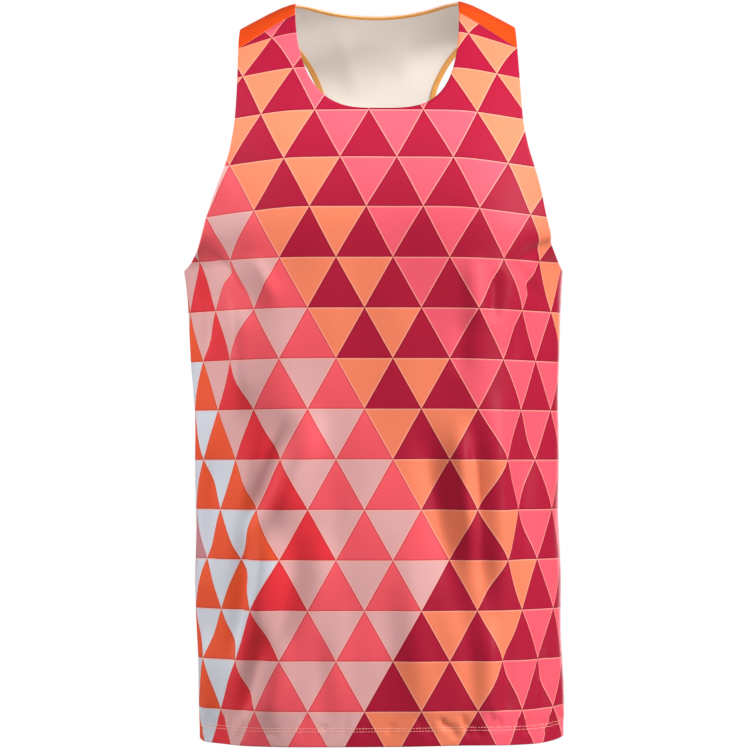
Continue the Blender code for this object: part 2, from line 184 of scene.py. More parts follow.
FRONT_CREASES = (
    # right armpit, drawn down and in from the armhole
    Crease(-178, 280, -108, 354, 7.5, 6.0, 3),
    Crease(-122, 286, -92, 340, 8.0, -3.4, 2),
    Crease(-136, 316, -130, 446, 16.0, -8.0, 2),
    Crease(-196, 300, -190, 390, 9.0, 3.0, 4),
    # the long fold down the right corner: its trough and ridge, and then the lower ones
    Crease(-80, 428, -130, 552, 11.0, 9.0, 2),
    Crease(-52, 428, -99, 554, 13.0, -8.0, 3),
    Crease(-130, 515, -160, 690, 12.0, 9.0, 4),
    Crease(-99, 530, -122, 660, 12.0, -6.0, 4),
    # the fold below it, from the belly to the hem
    Crease(-74, 530, -106, 680, 10.0, 3.6, 8),
    Crease(-50, 540, -86, 684, 11.0, -3.0, 10),
    Crease(-106, 630, -146, 735, 10.0, 5.4, 4),
    Crease(-82, 640, -110, 735, 11.0, -3.8, 3),
    # beside the right seam
    Crease(-180, 455, -190, 612, 12.0, 4.4, -5),
    Crease(-196, 636, -192, 742, 14.0, -4.6, 2),
    # left armpit, drawn to the breast and back out
    Crease(205, 266, 122, 303, 7.0, 3.4, -3),
    Crease(112, 288, 192, 340, 7.5, 5.0, 4),
    Crease(88, 284, 100, 362, 10.0, -4.4, -3),
    Crease(114, 300, 108, 356, 8.0, 4.4, 0),
    Crease(78, 340, 76, 410, 10.0, 3.4, 2),
    Crease(140, 330, 136, 400, 9.0, 3.4, -2),
    # the broad fold down the left half: trough and ridge, twice, and a last trough
    Crease(36, 422, 80, 650, 15.0, 8.2, 3),
    Crease(74, 432, 98, 590, 11.0, -7.4, -2),
    Crease(89, 422, 107, 640, 9.0, 7.0, -3),
    Crease(114, 410, 120, 640, 14.0, -8.6, -3),
    Crease(158, 430, 150, 600, 13.0, 4.6, 3),
    # its lower part, down to the hem
    Crease(78, 590, 92, 735, 12.0, 4.2, 2),
    Crease(28, 525, 48, 738, 15.0, -4.0, -3),
    Crease(6, 590, 12, 700, 11.0, 1.1, 2),
    Crease(106, 620, 100, 738, 12.0, -5.4, 2),
    Crease(132, 640, 126, 738, 10.0, 4.6, -2),
    # beside the left seam
    Crease(194, 650, 184, 726, 9.0, 3.6, -4),
    # faint ones near the middle
    Crease(-28, 566, -24, 730, 13.0, 1.6, 3),
    Crease(-52, 640, -46, 738, 10.0, 1.8, -2),
    Crease(-44, 490, -38, 590, 11.0, 1.2, 2),
)

BACK_CREASES = (
    # from the armholes towards the small of the back
    Crease(176, 262, 96, 352, 8.0, 6.0, -5),
    Crease(-178, 262, -100, 336, 8.0, 6.4, 5),
    Crease(138, 300, 112, 404, 9.0, 4.4, 4),
    Crease(-140, 296, -112, 420, 9.0, 4.8, -4),
    # folds that fall from the shoulder blades
    Crease(74, 300, 92, 470, 12.0, -4.8, 4),
    Crease(92, 392, 108, 560, 9.5, 6.8, -6),
    Crease(-88, 380, -116, 578, 10.0, 7.2, 7),
    Crease(-62, 340, -80, 520, 12.0, -4.4, -4),
    Crease(36, 420, 28, 560, 11.0, 4.0, 4),
    Crease(-24, 470, -34, 640, 12.0, 4.4, -4),
    Crease(58, 540, 66, 712, 10.0, 5.6, 4),
    Crease(-78, 590, -92, 724, 9.0, 6.0, -3),
    Crease(112, 590, 128, 732, 9.0, 5.6, 4),
    Crease(-130, 610, -142, 736, 8.0, 5.2, 3),
    Crease(0, 600, 6, 734, 10.0, -3.6, 2),
    # sides, behind the seams
    Crease(190, 420, 184, 590, 10.0, 4.4, 4),
    Crease(-194, 350, -186, 520, 10.0, 4.8, -4),
    Crease(-188, 560, -190, 700, 9.0, 4.4, 3),
    # across the yoke, where the straps pull
    Crease(-40, 66, -20, 150, 9.0, 1.2, 2),
    Crease(42, 60, 22, 142, 9.0, 1.0, -2),
)

CREASE_FADE = 0.35  # share of a crease's length over which each end dies away

# Soft unevenness of hanging cloth: waves over the whole panel, which die away towards the taut shoulders.
Swell = namedtuple("Swell", "height across_length down_length phase")
SWELLS = (
    Swell(0.8, 96.0, 420.0, 0.4),
    Swell(0.35, 61.0, -260.0, 2.1),
    Swell(0.6, 143.0, 118.0, 4.0),
)
SWELL_START, SWELL_SPAN = 120.0, 220.0  # level where they begin, and over how far they grow whole

# ---------------------------------------------------------------------------------------------------------
# The print: equal triangles in level rows, upright ones in a dark ink and hanging ones in a light ink.
# Nested arrowheads group the inks, counted in cells outwards (0 and up) or inwards (below 0) from one border.
# ---------------------------------------------------------------------------------------------------------

CELL_BASE = 52.7  # mm, width of a triangle
CELL_ROW = 46.8  # mm, height of a row
ROW_START = 293.0  # mm down, where a row line passes under the armpits
COLUMN_START = -38.0  # mm across, where a corner of the triangles meets that line

Arrowhead = namedtuple("Arrowhead", "row columns")  # where the border's tip is, in rows and half cells
Band = namedtuple("Band", "first upright hanging")  # first cell count of a band and its two inks

FRONT_TIP = Arrowhead(row=6, columns=4)
BACK_TIP = Arrowhead(row=3, columns=1)

BANDS = (
    Band(-12, "mauve", "white"),
    Band(-5, "vermilion", "white"),
    Band(-3, "scarlet", "blush"),
    Band(-2, "coral", "blush"),
    Band(0, "crimson", "peach"),
    Band(2, "crimson", "pink"),
    Band(5, "crimson", "peach"),
)
BAND_COUNTS = 24  # range of cell counts that the colour ramps cover, from the first band's

PLAIN_YOKE_END = 62.0  # mm down the back, above which its print is one plain ink
NO_PLAIN_YOKE = -999.0  # above any place on the cloth


def linear(code):
    """Linear colour of an sRGB hex value."""
    channels = [int(code[k : k + 2], 16) / 255 for k in (0, 2, 4)]
    return tuple(c / 12.92 if c <= 0.04045 else ((c + 0.055) / 1.055) ** 2.4 for c in channels)


def ink(name, code, description):
    return FloatVectorProperty(
        name=name, description=description, subtype="COLOR", min=0.0, max=1.0, default=linear(code)
    )


def length(name, millimetres, description):
    return FloatProperty(name=name, description=description, unit="LENGTH", default=millimetres * MM)


def factor(name, default, description):
    return FloatProperty(name=name, description=description, default=default, min=0.0, max=2.0)


def power(name, watts, description):
    return FloatProperty(name=name, description=description, unit="POWER", default=watts, min=0.0)


class SingletInks(bpy.types.PropertyGroup):
    """Colours of the dyed print, the reverse of the knit, the tapes and the threads."""

    crimson: ink("Crimson", "A91835", "Darkest ink, upright triangles outside the border")
    pink: ink("Pink", "E9596A", "Light ink of the outer bands")
    peach: ink("Peach", "EE805E", "Light ink next to the border")
    coral: ink("Coral", "F45B65", "Upright triangles inside the border")
    blush: ink("Blush", "DEA6A5", "Hanging triangles inside the border")
    scarlet: ink("Scarlet", "E6343D", "Upright triangles of the third band")
    vermilion: ink("Vermilion", "F0592F", "Upright triangles of the inner bands")
    white: ink("White", "D2D4DE", "Hanging triangles of the inner bands")
    mauve: ink("Mauve", "C88A90", "Upright triangles at the heart of the arrowheads")
    yoke: ink("Yoke", "FF541A", "Plain ink over the shoulders and the top of the back")
    deep: ink("Deep", "9E0F34", "What upright triangles deepen to at their base")
    dark_line: ink("Dark line", "6A0014", "Fine line round an upright triangle")
    pale_line: ink("Pale line", "FFAA9C", "Fine line round a hanging triangle")
    reverse: ink("Reverse", "E2D7CE", "Undyed inner side of the knit")
    # painted highlight: paler colour laid on the tops of the loops on the inner side
    reverse_loop_highlight: ink("Reverse loops", "FFF6F0", "Tops of the loops on the inner side")
    edge: ink("Edge", "EBC0BC", "Turned edge of the knit, where the dye thins")
    amber: ink("Amber", "E2A04E", "Tape inside the back neck and armholes")
    amber_shade: ink("Amber shade", "B97732", "Darker grain of the tape")
    hem_thread: ink("Hem thread", "FFC2B0", "Thread of the hem's stitching")
    tape_thread: ink("Tape thread", "D9893A", "Thread that holds the tapes")


class SingletSizes(bpy.types.PropertyGroup):
    """Sizes of the cloth, hem, tapes and stitches."""

    wall: length("Cloth thickness", 0.7, "Thickness of the knit")
    mesh_step: length("Mesh step", 3.4, "Spacing of the rows of a panel's mesh")
    half_columns: IntProperty(
        name="Half columns",
        description="Columns of a panel's mesh each side of its middle",
        default=72,
        min=8,
    )
    crease_strength: factor("Crease strength", 1.0, "Factor on the depth of every crease")
    hem_turn: length("Hem turn", 20.0, "Width of the hem turned up inside")
    hem_fold: length("Hem fold", 0.95, "Outer radius of the hem's fold")
    hem_stitch_low: length("Lower hem row", 13.5, "Lower row of hem stitches above the fold")
    hem_stitch_high: length("Upper hem row", 16.4, "Upper row of hem stitches above the fold")
    tape_width: length("Tape width", 5.2, "Width of the neck and armhole tapes")
    tape_thickness: length("Tape thickness", 0.8, "Thickness of the tapes")
    stitch_pitch: length("Stitch pitch", 2.8, "Distance from stitch to stitch")
    thread: length("Thread radius", 0.3, "Radius of the sewing thread")


class SingletStudio(bpy.types.PropertyGroup):
    """The camera and the light."""

    distance: length("Camera distance", 5450.0, "From the camera to the middle of the singlet")
    height: length("Camera height", -375.0, "Height of the camera")
    aim: length("Aim height", -351.4, "Height of the point that the camera looks at")
    sideways: length("Camera sideways", -1.9, "The camera's place across the singlet")
    lens: FloatProperty(name="Lens", description="Focal length in millimetres", default=276.5, min=10.0)
    right: power("Right softbox", 238.0, "Power of the softbox on the right")
    left: power("Left softbox", 1.2, "Power of the small gridded softbox high on the left")
    rim: power("Rim softbox", 72.0, "Power of the softbox on the left, behind the shoulder")
    front: power("Front softbox", 58.0, "Power of the softbox above the camera")
    back: power("Back softbox", 76.0, "Power of the softbox behind the singlet")
    inside: power("Inside softbox", 0.1, "Power of the small light hidden behind the front neck")
    sky: factor("Sky", 0.09, "Brightness of the white surroundings")


# ---------------------------------------------------------------------------------------------------------
# The worn form as a lookup table
# ---------------------------------------------------------------------------------------------------------


def mix(a, b, share):
    return a + (b - a) * share


def fade(value):
    """Smooth step from 0 to 1."""
    value = np.clip(value, 0.0, 1.0)
    return value * value * (3 - 2 * value)


def smooth_through(knots, values, at):
    """Value at a place on a smooth curve through the knots that never overshoots them."""
    last = len(knots) - 1
    if at <= knots[0]:
        return values[0]
    if at >= knots[last]:
        return values[last]
    i = max(k for k in range(last) if knots[k] <= at)

    def rise(k):
        return (values[k + 1] - values[k]) / (knots[k + 1] - knots[k])

    def slope(k):
        if k in (0, last):
            return rise(min(k, last - 1))
        before, after = rise(k - 1), rise(k)
        return 2 * before * after / (before + after) if before * after > 0 else 0.0

    span = knots[i + 1] - knots[i]
    u = (at - knots[i]) / span
    start = (2 * u**3 - 3 * u**2 + 1) * values[i] + (u**3 - 2 * u**2 + u) * span * slope(i)
    end = (3 * u**2 - 2 * u**3) * values[i + 1] + (u**3 - u**2) * span * slope(i + 1)
    return start + end


def rounded_corner(before, corner, after, reach):
    """Points of the curve that rounds a corner, from reach before it to reach after it."""
    before, corner, after = (np.array(point, float) for point in (before, corner, after))
    start = corner + (before - corner) / np.linalg.norm(before - corner) * reach
    end = corner + (after - corner) / np.linalg.norm(after - corner) * reach
    shares = np.linspace(0, 1, CORNER_STEPS + 1)[:, None]
    return (1 - shares) ** 2 * start + 2 * shares * (1 - shares) * corner + shares**2 * end


def sideways_fall(x):
    """Share of a ring's fall at a distance from the centre: level at the middle, then a steady slope."""
    past = x - FALL_START
    return (past + np.hypot(past, FALL_SOFTNESS)) / 2 / FALL_SPAN


class Face:
    """The front or the back of the worn form: a table of where each millimetre of flat cloth lies."""

    def __init__(self, rings, corner_reach, outwards, over_shoulder=None):
        self.rings = rings
        self.corner_reach = corner_reach
        self.outwards = outwards
        self.downs = [0.0]
        for a, b in zip(rings, rings[1:]):
            self.downs.append(self.downs[-1] + math.hypot(b.drop - a.drop, b.depth - a.depth))
        self.bottom = self.downs[-1]
        self.acrosses = np.arange(-TABLE_HALF, TABLE_HALF + TABLE_STEP / 2, TABLE_STEP)
        levels = np.arange(0.0, self.bottom + TABLE_STEP, TABLE_STEP)
        table = np.array([self.row(down) for down in levels])
        self.top = 0.0
        if over_shoulder is not None:
            wrap = int(SHOULDER_SEAM_ARM) + TABLE_SPARE
            table = np.concatenate([over_shoulder.table[wrap:0:-1], table])
            self.top = -wrap * TABLE_STEP
        self.table = table
        normals = np.cross(np.gradient(table, axis=1), np.gradient(table, axis=0)) * outwards
        self.normals = normals / np.linalg.norm(normals, axis=2, keepdims=True)

    def ring(self, down):
        return Ring(*(smooth_through(self.downs, column, down) for column in zip(*self.rings)))

    def half_section(self, ring, hand):
        """Half of a ring seen from above: its points and how far along each one is."""
        width = ring.left if hand < 0 else ring.right
        crown = CROWN * min(ring.drop / CROWN_DROP, 1.0)
        centre = (0.0, ring.depth)
        quarter = (ring.corner / CROWN_QUARTER, ring.depth)
        corner = (ring.corner, ring.depth - self.outwards * crown)
        turn = (width, ring.side + self.outwards * ring.ease)
        reach = min(self.corner_reach, ring.corner / 2, CORNER_SHARE * math.dist(corner, turn))
        parts = [np.array([centre]), rounded_corner(centre, quarter, corner, ring.corner / CROWN_REACH)]
        parts.append(rounded_corner(quarter, corner, turn, reach))
        if ring.ease > LEAST_EASE:
            parts.append(rounded_corner(corner, turn, (width, ring.side), ring.ease))
        else:
            parts.append(np.array([turn]))
        points = np.concatenate(parts)
        marks = np.concatenate([[0.0], np.cumsum(np.linalg.norm(np.diff(points, axis=0), axis=1))])
        return points, marks

    def width(self, down, hand):
        """Cloth from the centre line to the side seam."""
        return self.half_section(self.ring(down), hand)[1][-1]

    def row(self, down):
        """One row of the table. Past the side seam the cloth runs straight on."""
        ring = self.ring(down)
        xs = np.empty_like(self.acrosses)
        ys = np.empty_like(self.acrosses)
        for hand in (-1, 1):
            points, marks = self.half_section(ring, hand)
            side = self.acrosses * hand >= 0
            along = self.acrosses[side] * hand
            past = np.maximum(along - marks[-1], 0.0)
            way = (points[-1] - points[-2]) / np.linalg.norm(points[-1] - points[-2])
            xs[side] = hand * (np.interp(along, marks, points[:, 0]) + past * way[0])
            ys[side] = np.interp(along, marks, points[:, 1]) + past * way[1]
        falls = ring.fall * (sideways_fall(np.abs(xs)) - sideways_fall(NECK_HALF))
        return np.stack([xs, ys, -ring.drop - falls], axis=1)

    def down_at(self, drop):
        """The cloth distance at which the centre line reaches a level."""
        middle = self.table[:, len(self.acrosses) // 2, 2]
        first = int(round(-self.top / TABLE_STEP))
        return float(np.interp(drop, -middle[first:], np.arange(len(middle) - first) * TABLE_STEP))

    def across_at(self, half_width, down, hand):
        """The cloth distance across at which the form reaches a half width seen from the front."""
        points, marks = self.half_section(self.ring(down), hand)
        return float(np.interp(half_width, points[:, 0], marks))

    def look_up(self, table, across, down):
        """Values of a table at places of the flat cloth, blended between its entries."""
        columns = np.clip((across + TABLE_HALF) / TABLE_STEP, 0, table.shape[1] - LAST_CELL)
        rows = np.clip((down - self.top) / TABLE_STEP, 0, table.shape[0] - LAST_CELL)
        i, j = rows.astype(int), columns.astype(int)
        u, v = (rows - i)[..., None], (columns - j)[..., None]
        upper = table[i, j] * (1 - v) + table[i, j + 1] * v
        lower = table[i + 1, j] * (1 - v) + table[i + 1, j + 1] * v
        return upper * (1 - u) + lower * u


FRONT = Face(FRONT_RINGS, FRONT_CORNER_REACH, -1)
BACK = Face(BACK_RINGS, BACK_CORNER_REACH, 1, over_shoulder=FRONT)


# ---------------------------------------------------------------------------------------------------------
# Edges of the panels, in flat cloth millimetres
# ---------------------------------------------------------------------------------------------------------


def armhole_across(face, edges, down, hand):
    """Cloth from the centre line to the armhole edge, or to the side seam below the armpit."""
    drop = face.ring(down).drop
    seam = face.width(down, hand) - SEAM_CUT_BACK
    if drop >= ARMPIT_DROP:
        return seam
    widths = [edge.left if hand < 0 else edge.right for edge in edges]
    half_width = smooth_through([edge.drop for edge in edges], widths, drop)
    return min(face.across_at(half_width, down, hand), seam)


def front_edge(down, hand):
    return armhole_across(FRONT, FRONT_ARMHOLE, down, hand)


def back_edge(down, hand):
    if down < 0:
        return front_edge(-down, hand)
    return armhole_across(BACK, BACK_ARMHOLE, down, hand)


NECK_TOP = FRONT.down_at(NECK_CURVE_DROP)
NECK_LOW = FRONT.down_at(FRONT_NECK_DROP)


def quarter_round(share, power=2.0):
    """Height of a quarter of a rounded arch at a share of its width. A higher power makes it squarer."""
    return (1 - min(max(share, 0.0), 1.0) ** power) ** (1 / power)


def front_neck_side(down, hand):
    """Half width of the front neck at a level between the shoulder seam and its lowest point."""
    return NECK_HALF * quarter_round((down - NECK_TOP) / (NECK_LOW - NECK_TOP), FRONT_NECK_POWERS[hand])


def front_neck_bottom(across):
    """Level of the front neck's edge at a distance from the centre line."""
    power = FRONT_NECK_POWERS[-1 if across < 0 else 1]
    return NECK_TOP + (NECK_LOW - NECK_TOP) * quarter_round(abs(across) / NECK_HALF, power)


def back_neck_side(down, hand):
    """Half width of the back neck: half an ellipse, then straight over the shoulder. Both hands are alike."""
    return NECK_HALF * quarter_round(down / BACK_NECK_DOWN)


def back_neck_bottom(across):
    return BACK_NECK_DOWN * quarter_round(abs(across) / NECK_HALF)


def front_seam(share):
    """Where a front strap ends, from the neck (0) to the armhole (1)."""
    return mix(SHOULDER_SEAM_NECK, SHOULDER_SEAM_ARM, share) + SEAM_CUT_BACK


def back_seam(share):
    """Where the back panel ends on the front of the shoulder, as cloth before the shoulder line."""
    return SEAM_CUT_BACK - mix(SHOULDER_SEAM_NECK, SHOULDER_SEAM_ARM, share)


# ---------------------------------------------------------------------------------------------------------
# Laying cloth on the form
# ---------------------------------------------------------------------------------------------------------


def crease_height(crease, across, down):
    """How far a crease pushes the cloth out at places of the flat cloth."""
    run_across, run_down = crease.to_across - crease.across, crease.to_down - crease.down
    run = math.hypot(run_across, run_down)
    along = ((across - crease.across) * run_across + (down - crease.down) * run_down) / run**2
    aside = ((across - crease.across) * run_down - (down - crease.down) * run_across) / run
    aside = aside - crease.bow * 4 * along * (1 - along)
    ends = fade(along / CREASE_FADE) * fade((1 - along) / CREASE_FADE)
    return -crease.depth * np.exp(-((aside / crease.width) ** 2)) * ends


def swell_height(across, down):
    """The soft unevenness of the whole panel."""
    height = 0.0
    for swell in SWELLS:
        turn = 2 * math.pi * (across / swell.across_length + down / swell.down_length) + swell.phase
        height = height + swell.height * np.sin(turn)
    return height * fade((down - SWELL_START) / SWELL_SPAN)


HemPucker = namedtuple("HemPucker", "from_across to_across spacing depth lean")
HEM_PUCKERS = {
    "front": (HemPucker(-226, 30, 17, 1.0, -5), HemPucker(36, 228, 11.5, 2.9, 11)),
    "back": (HemPucker(-230, 226, 15, 1.0, 6),),
}
HEM_PUCKER_LENGTH = 22.0
HEM_PUCKER_WIDTH = 2.6
HEM_STITCH_LEVEL = 15.0  # mm above the fold, about which the puckers gather
HEM_PUCKER_SEEDS = {"front": 5, "back": 4}
# ranges of chance: shares of a pucker's length above and below the stitching, and of its other sizes
PUCKER_ABOVE, PUCKER_BELOW = (0.3, 1.0), (0.1, 0.6)
PUCKER_LEAN, PUCKER_DEPTH = (0.5, 1.3), (0.4, 1.3)
PUCKER_WIDTH, PUCKER_SPACING = (0.8, 1.3), (0.7, 1.35)


def hem_puckers(side, bottom):
    """Short slanted creases that the hem's stitching gathers, uneven in place, length and depth."""
    dice = random.Random(HEM_PUCKER_SEEDS[side])
    creases = []
    for run in HEM_PUCKERS[side]:
        across = run.from_across
        while across < run.to_across:
            down = bottom - HEM_STITCH_LEVEL - dice.uniform(*PUCKER_ABOVE) * HEM_PUCKER_LENGTH
            to_down = bottom - HEM_STITCH_LEVEL + dice.uniform(*PUCKER_BELOW) * HEM_PUCKER_LENGTH
            lean = run.lean * dice.uniform(*PUCKER_LEAN)
            depth = run.depth * dice.uniform(*PUCKER_DEPTH)
            width = HEM_PUCKER_WIDTH * dice.uniform(*PUCKER_WIDTH)
            creases.append(Crease(across, down, across + lean, to_down, width, depth, 0))
            across += run.spacing * dice.uniform(*PUCKER_SPACING)
    return creases


HemLift = namedtuple("HemLift", "across spread rise")  # where the hem rises, how widely and how far
HEM_LIFTS = {
    "front": (HemLift(232, 34, 5.0), HemLift(-232, 20, 2.0), HemLift(85, 60, 1.4)),
    "back": (HemLift(-232, 26, 2.5), HemLift(232, 34, 5.0), HemLift(-70, 40, 1.2)),
}
HEM_LIFT_REACH = 70.0  # how far above the hem a lift is still felt
SHOULDER_LIFT = 2.4  # how much higher the left shoulder sits than the right
SHOULDER_LIFT_REACH = 110.0


class Cloth:
    """A panel's cloth: takes flat places to the creased form, in metres."""

    def __init__(self, side, face, creases):
        self.face = face
        self.creases = list(creases) + hem_puckers(side, face.bottom)
        self.lifts = HEM_LIFTS[side]

    def lay(self, across, down, proud=0.0):
        """Places of the cloth, proud of its outer face by a distance in millimetres."""
        across, down = np.asarray(across, float), np.asarray(down, float)
        strength = bpy.context.scene.singlet_sizes.crease_strength
        height = swell_height(across, down)
        for crease in self.creases:
            height = height + crease_height(crease, across, down)
        points = self.face.look_up(self.face.table, across, down)
        normals = self.face.look_up(self.face.normals, across, down)
        normals = normals / np.linalg.norm(normals, axis=-1, keepdims=True)
        points = points + normals * (height * strength + proud)[..., None]
        near_hem = fade(1 - (self.face.bottom - down) / HEM_LIFT_REACH)
        for lift in self.lifts:
            points[..., 2] += lift.rise * near_hem * np.exp(-(((across - lift.across) / lift.spread) ** 2))
        near_top = fade(1 - np.abs(down) / SHOULDER_LIFT_REACH)
        points[..., 2] += SHOULDER_LIFT * near_top * fade(across / NECK_HALF)
        return points * MM


FRONT_CLOTH = Cloth("front", FRONT, FRONT_CREASES)
BACK_CLOTH = Cloth("back", BACK, BACK_CREASES)

Cut = namedtuple("Cut", "cloth edge neck_bottom neck_side seam")
FRONT_CUT = Cut(FRONT_CLOTH, front_edge, front_neck_bottom, front_neck_side, front_seam)
BACK_CUT = Cut(BACK_CLOTH, back_edge, back_neck_bottom, back_neck_side, back_seam)

MIDDLE_WIDTH = 0.03  # m, what counts as near the centre line
STRAP_SHARE = 0.5  # share of a half panel's width at which the straps begin
CROWDING = 1.4  # above 1 the rows crowd towards the armpits
HEM_FINE_START = 40.0  # mm above the fold, where the rows become finer
HEM_FINE_STEP = 1.3
FOLD_STEPS = 6
STRAP_FINENESS = 1.2  # how much closer a strap's rows are than the mesh step
SEARCH_END = 0.001  # mm, how closely the level where a strap begins is found
WELD = 0.01  # mm, within which the corners of neighbouring grids become one


def strap_start(cut, hand):
    """Level where the neck edge is as far out as the column of the straps."""
    low, high = 0.0, cut.neck_bottom(0.0)
    while high - low > SEARCH_END:
        middle = (low + high) / 2
        wider = cut.neck_side(middle, hand) > STRAP_SHARE * cut.edge(middle, hand)
        low, high = (middle, high) if wider else (low, middle)
    return (low + high) / 2


# The pull of the straps: the grain leans left, narrows towards the neck and stretches over the shoulders.
GRAIN_SHIFT = 3.7
GRAIN_SHIFT_START, GRAIN_SHIFT_SPAN = 293.0, 100.0
GRAIN_NARROWING = 0.125
GRAIN_NARROWING_START, GRAIN_NARROWING_SPAN = 210.0, 150.0
GRAIN_STRETCH = 12.0
GRAIN_STRETCH_START, GRAIN_STRETCH_SPAN = 170.0, 140.0


def grain(across, down):
    """Where the print lies on the cloth, once the straps pull the knit."""
    shift = GRAIN_SHIFT * fade((GRAIN_SHIFT_START - down) / GRAIN_SHIFT_SPAN)
    narrowing = GRAIN_NARROWING * fade((GRAIN_NARROWING_START - down) / GRAIN_NARROWING_SPAN)
    stretch = GRAIN_STRETCH * np.maximum((GRAIN_STRETCH_START - down) / GRAIN_STRETCH_SPAN, 0.0) ** 2
    return (across - shift) / (1 - narrowing), down - stretch


class Grid:
    """A sheet of quads: each corner's place, its place on the flat cloth and its place on the print."""

    def __init__(self, places, across, down):
        self.places = places
        self.flat = np.stack([across, down], axis=-1) * MM
        self.print = np.stack(grain(across, down), axis=-1) * MM

    def flat_area(self):
        """Area of the flat cloth, from the quads' diagonals."""
        first = self.flat[1:, 1:] - self.flat[:-1, :-1]
        second = self.flat[1:, :-1] - self.flat[:-1, 1:]
        return float(np.abs(first[..., 0] * second[..., 1] - first[..., 1] * second[..., 0]).sum() / 2)


def body_grid(cut, starts):
    """A panel from the armpits' level up to the straps, and down to the hem, which turns up inside."""
    sizes = bpy.context.scene.singlet_sizes
    face, half = cut.cloth.face, sizes.half_columns
    armpit, step = face.down_at(ARMPIT_DROP), sizes.mesh_step / MM
    fold, turn = sizes.hem_fold / MM, sizes.hem_turn / MM
    shares = np.arange(-half, half + 1) / half
    hands = np.where(shares < 0, -1, 1)
    across, down = [], []

    climbs = max(int((armpit - min(starts.values())) / step), 1)
    for k in range(climbs):
        climb = (1 - k / climbs) ** CROWDING
        widths = {hand: cut.edge(mix(armpit, starts[hand], climb), hand) for hand in (-1, 1)}
        tops = {hand: cut.edge(starts[hand], hand) for hand in (-1, 1)}
        row_across, row_down = [], []
        for share, hand in zip(shares, hands):
            top = starts[hand]
            if abs(share) < STRAP_SHARE:
                top = cut.neck_bottom(share * tops[hand])
            row_across.append(share * widths[hand])
            row_down.append(mix(armpit, top, climb))
        across.append(row_across)
        down.append(row_down)

    fine = face.bottom - HEM_FINE_START
    levels = list(np.linspace(armpit, fine, int((fine - armpit) / step) + 1))
    levels += list(np.linspace(fine, face.bottom, int(HEM_FINE_START / HEM_FINE_STEP) + 1))[1:]
    for level in levels:
        widths = {hand: cut.edge(level, hand) for hand in (-1, 1)}
        across.append([share * widths[hand] for share, hand in zip(shares, hands)])
        down.append([level] * len(shares))
    places = cut.cloth.lay(across, down)
    across, down = np.array(across), np.array(down)

    # the hem's fold, a half turn, and the part turned up inside
    low_across, low_down = across[-1], down[-1]
    outer, inner = places[-1], cut.cloth.lay(low_across, low_down, -2 * fold)
    centre = (outer + inner) / 2
    rows, marks = [], []
    for k in range(1, FOLD_STEPS + 1):
        angle = math.pi * k / FOLD_STEPS
        sag = np.array([0, 0, -fold * MM * math.sin(angle)])
        rows.append(centre + (outer - centre) * math.cos(angle) + sag)
        marks.append(fold * angle)
    for level in np.linspace(0, turn, int(turn / step) + 2)[1:]:
        widths = {hand: cut.edge(face.bottom - level, hand) for hand in (-1, 1)}
        row_across = np.array([share * widths[hand] for share, hand in zip(shares, hands)])
        rows.append(cut.cloth.lay(row_across, low_down - level, -2 * fold))
        marks.append(math.pi * fold + level)
    places = np.concatenate([places, np.array(rows)])
    across = np.concatenate([across, np.tile(low_across, (len(marks), 1))])
    down = np.concatenate([down, low_down + np.array(marks)[:, None]])
    return Grid(places, across, down)


def strap_grid(cut, starts, hand):
    """One strap, from the level where it leaves the body to its seam on the front of the shoulder."""
    sizes = bpy.context.scene.singlet_sizes
    columns = round(sizes.half_columns * (1 - STRAP_SHARE))
    across, down = [], []
    rows = int((starts[hand] - cut.seam(1)) / (sizes.mesh_step / MM) * STRAP_FINENESS)
    for row in range(rows + 1):
        row_across, row_down = [], []
        for column in range(columns + 1):
            share = column / columns
            level = mix(starts[hand], cut.seam(share), row / rows)
            row_across.append(hand * mix(cut.neck_side(level, hand), cut.edge(level, hand), share))
            row_down.append(level)
        across.append(row_across)
        down.append(row_down)
    return Grid(cut.cloth.lay(across, down), np.array(across), np.array(down))


def mesh_of(name, grids):
    """One mesh from grids that share edges, with the print's place as its UV map, in metres."""
    places, faces, prints, start = [], [], [], 0
    for grid in grids:
        rows, columns = grid.places.shape[:2]
        index = np.arange(rows * columns).reshape(rows, columns) + start
        quads = np.stack([index[:-1, :-1], index[1:, :-1], index[1:, 1:], index[:-1, 1:]], axis=-1)
        faces.append(quads.reshape(-1, 4))
        places.append(grid.places.reshape(-1, 3))
        prints.append(grid.print.reshape(-1, 2))
        start += rows * columns
    places, faces, prints = np.concatenate(places), np.concatenate(faces), np.concatenate(prints)
    mesh = bpy.data.meshes.new(name)
    mesh.from_pydata(places.tolist(), [], faces.tolist())
    layer = mesh.uv_layers.new(name="cloth")
    layer.data.foreach_set("uv", prints[faces.reshape(-1)].reshape(-1))
    sheet = bmesh.new()
    sheet.from_mesh(mesh)
    bmesh.ops.remove_doubles(sheet, verts=sheet.verts, dist=WELD * MM)
    bmesh.ops.recalc_face_normals(sheet, faces=sheet.faces)
    sheet.to_mesh(mesh)
    sheet.free()
    return mesh


def add_piece(name, mesh, materials):
    piece = bpy.data.objects.new(name, mesh)
    bpy.context.scene.collection.objects.link(piece)
    for material in materials:
        mesh.materials.append(material)
    mesh.shade_smooth()
    return piece


def turn_outwards(mesh, face):
    """Turn a panel's faces outwards. On a right mesh the topmost quad near the centre line looks out in y."""
    middle = [polygon for polygon in mesh.polygons if abs(polygon.center.x) < MIDDLE_WIDTH]
    topmost = max(middle, key=lambda polygon: polygon.center.z)
    if topmost.normal.y * face.outwards < 0:
        mesh.flip_normals()


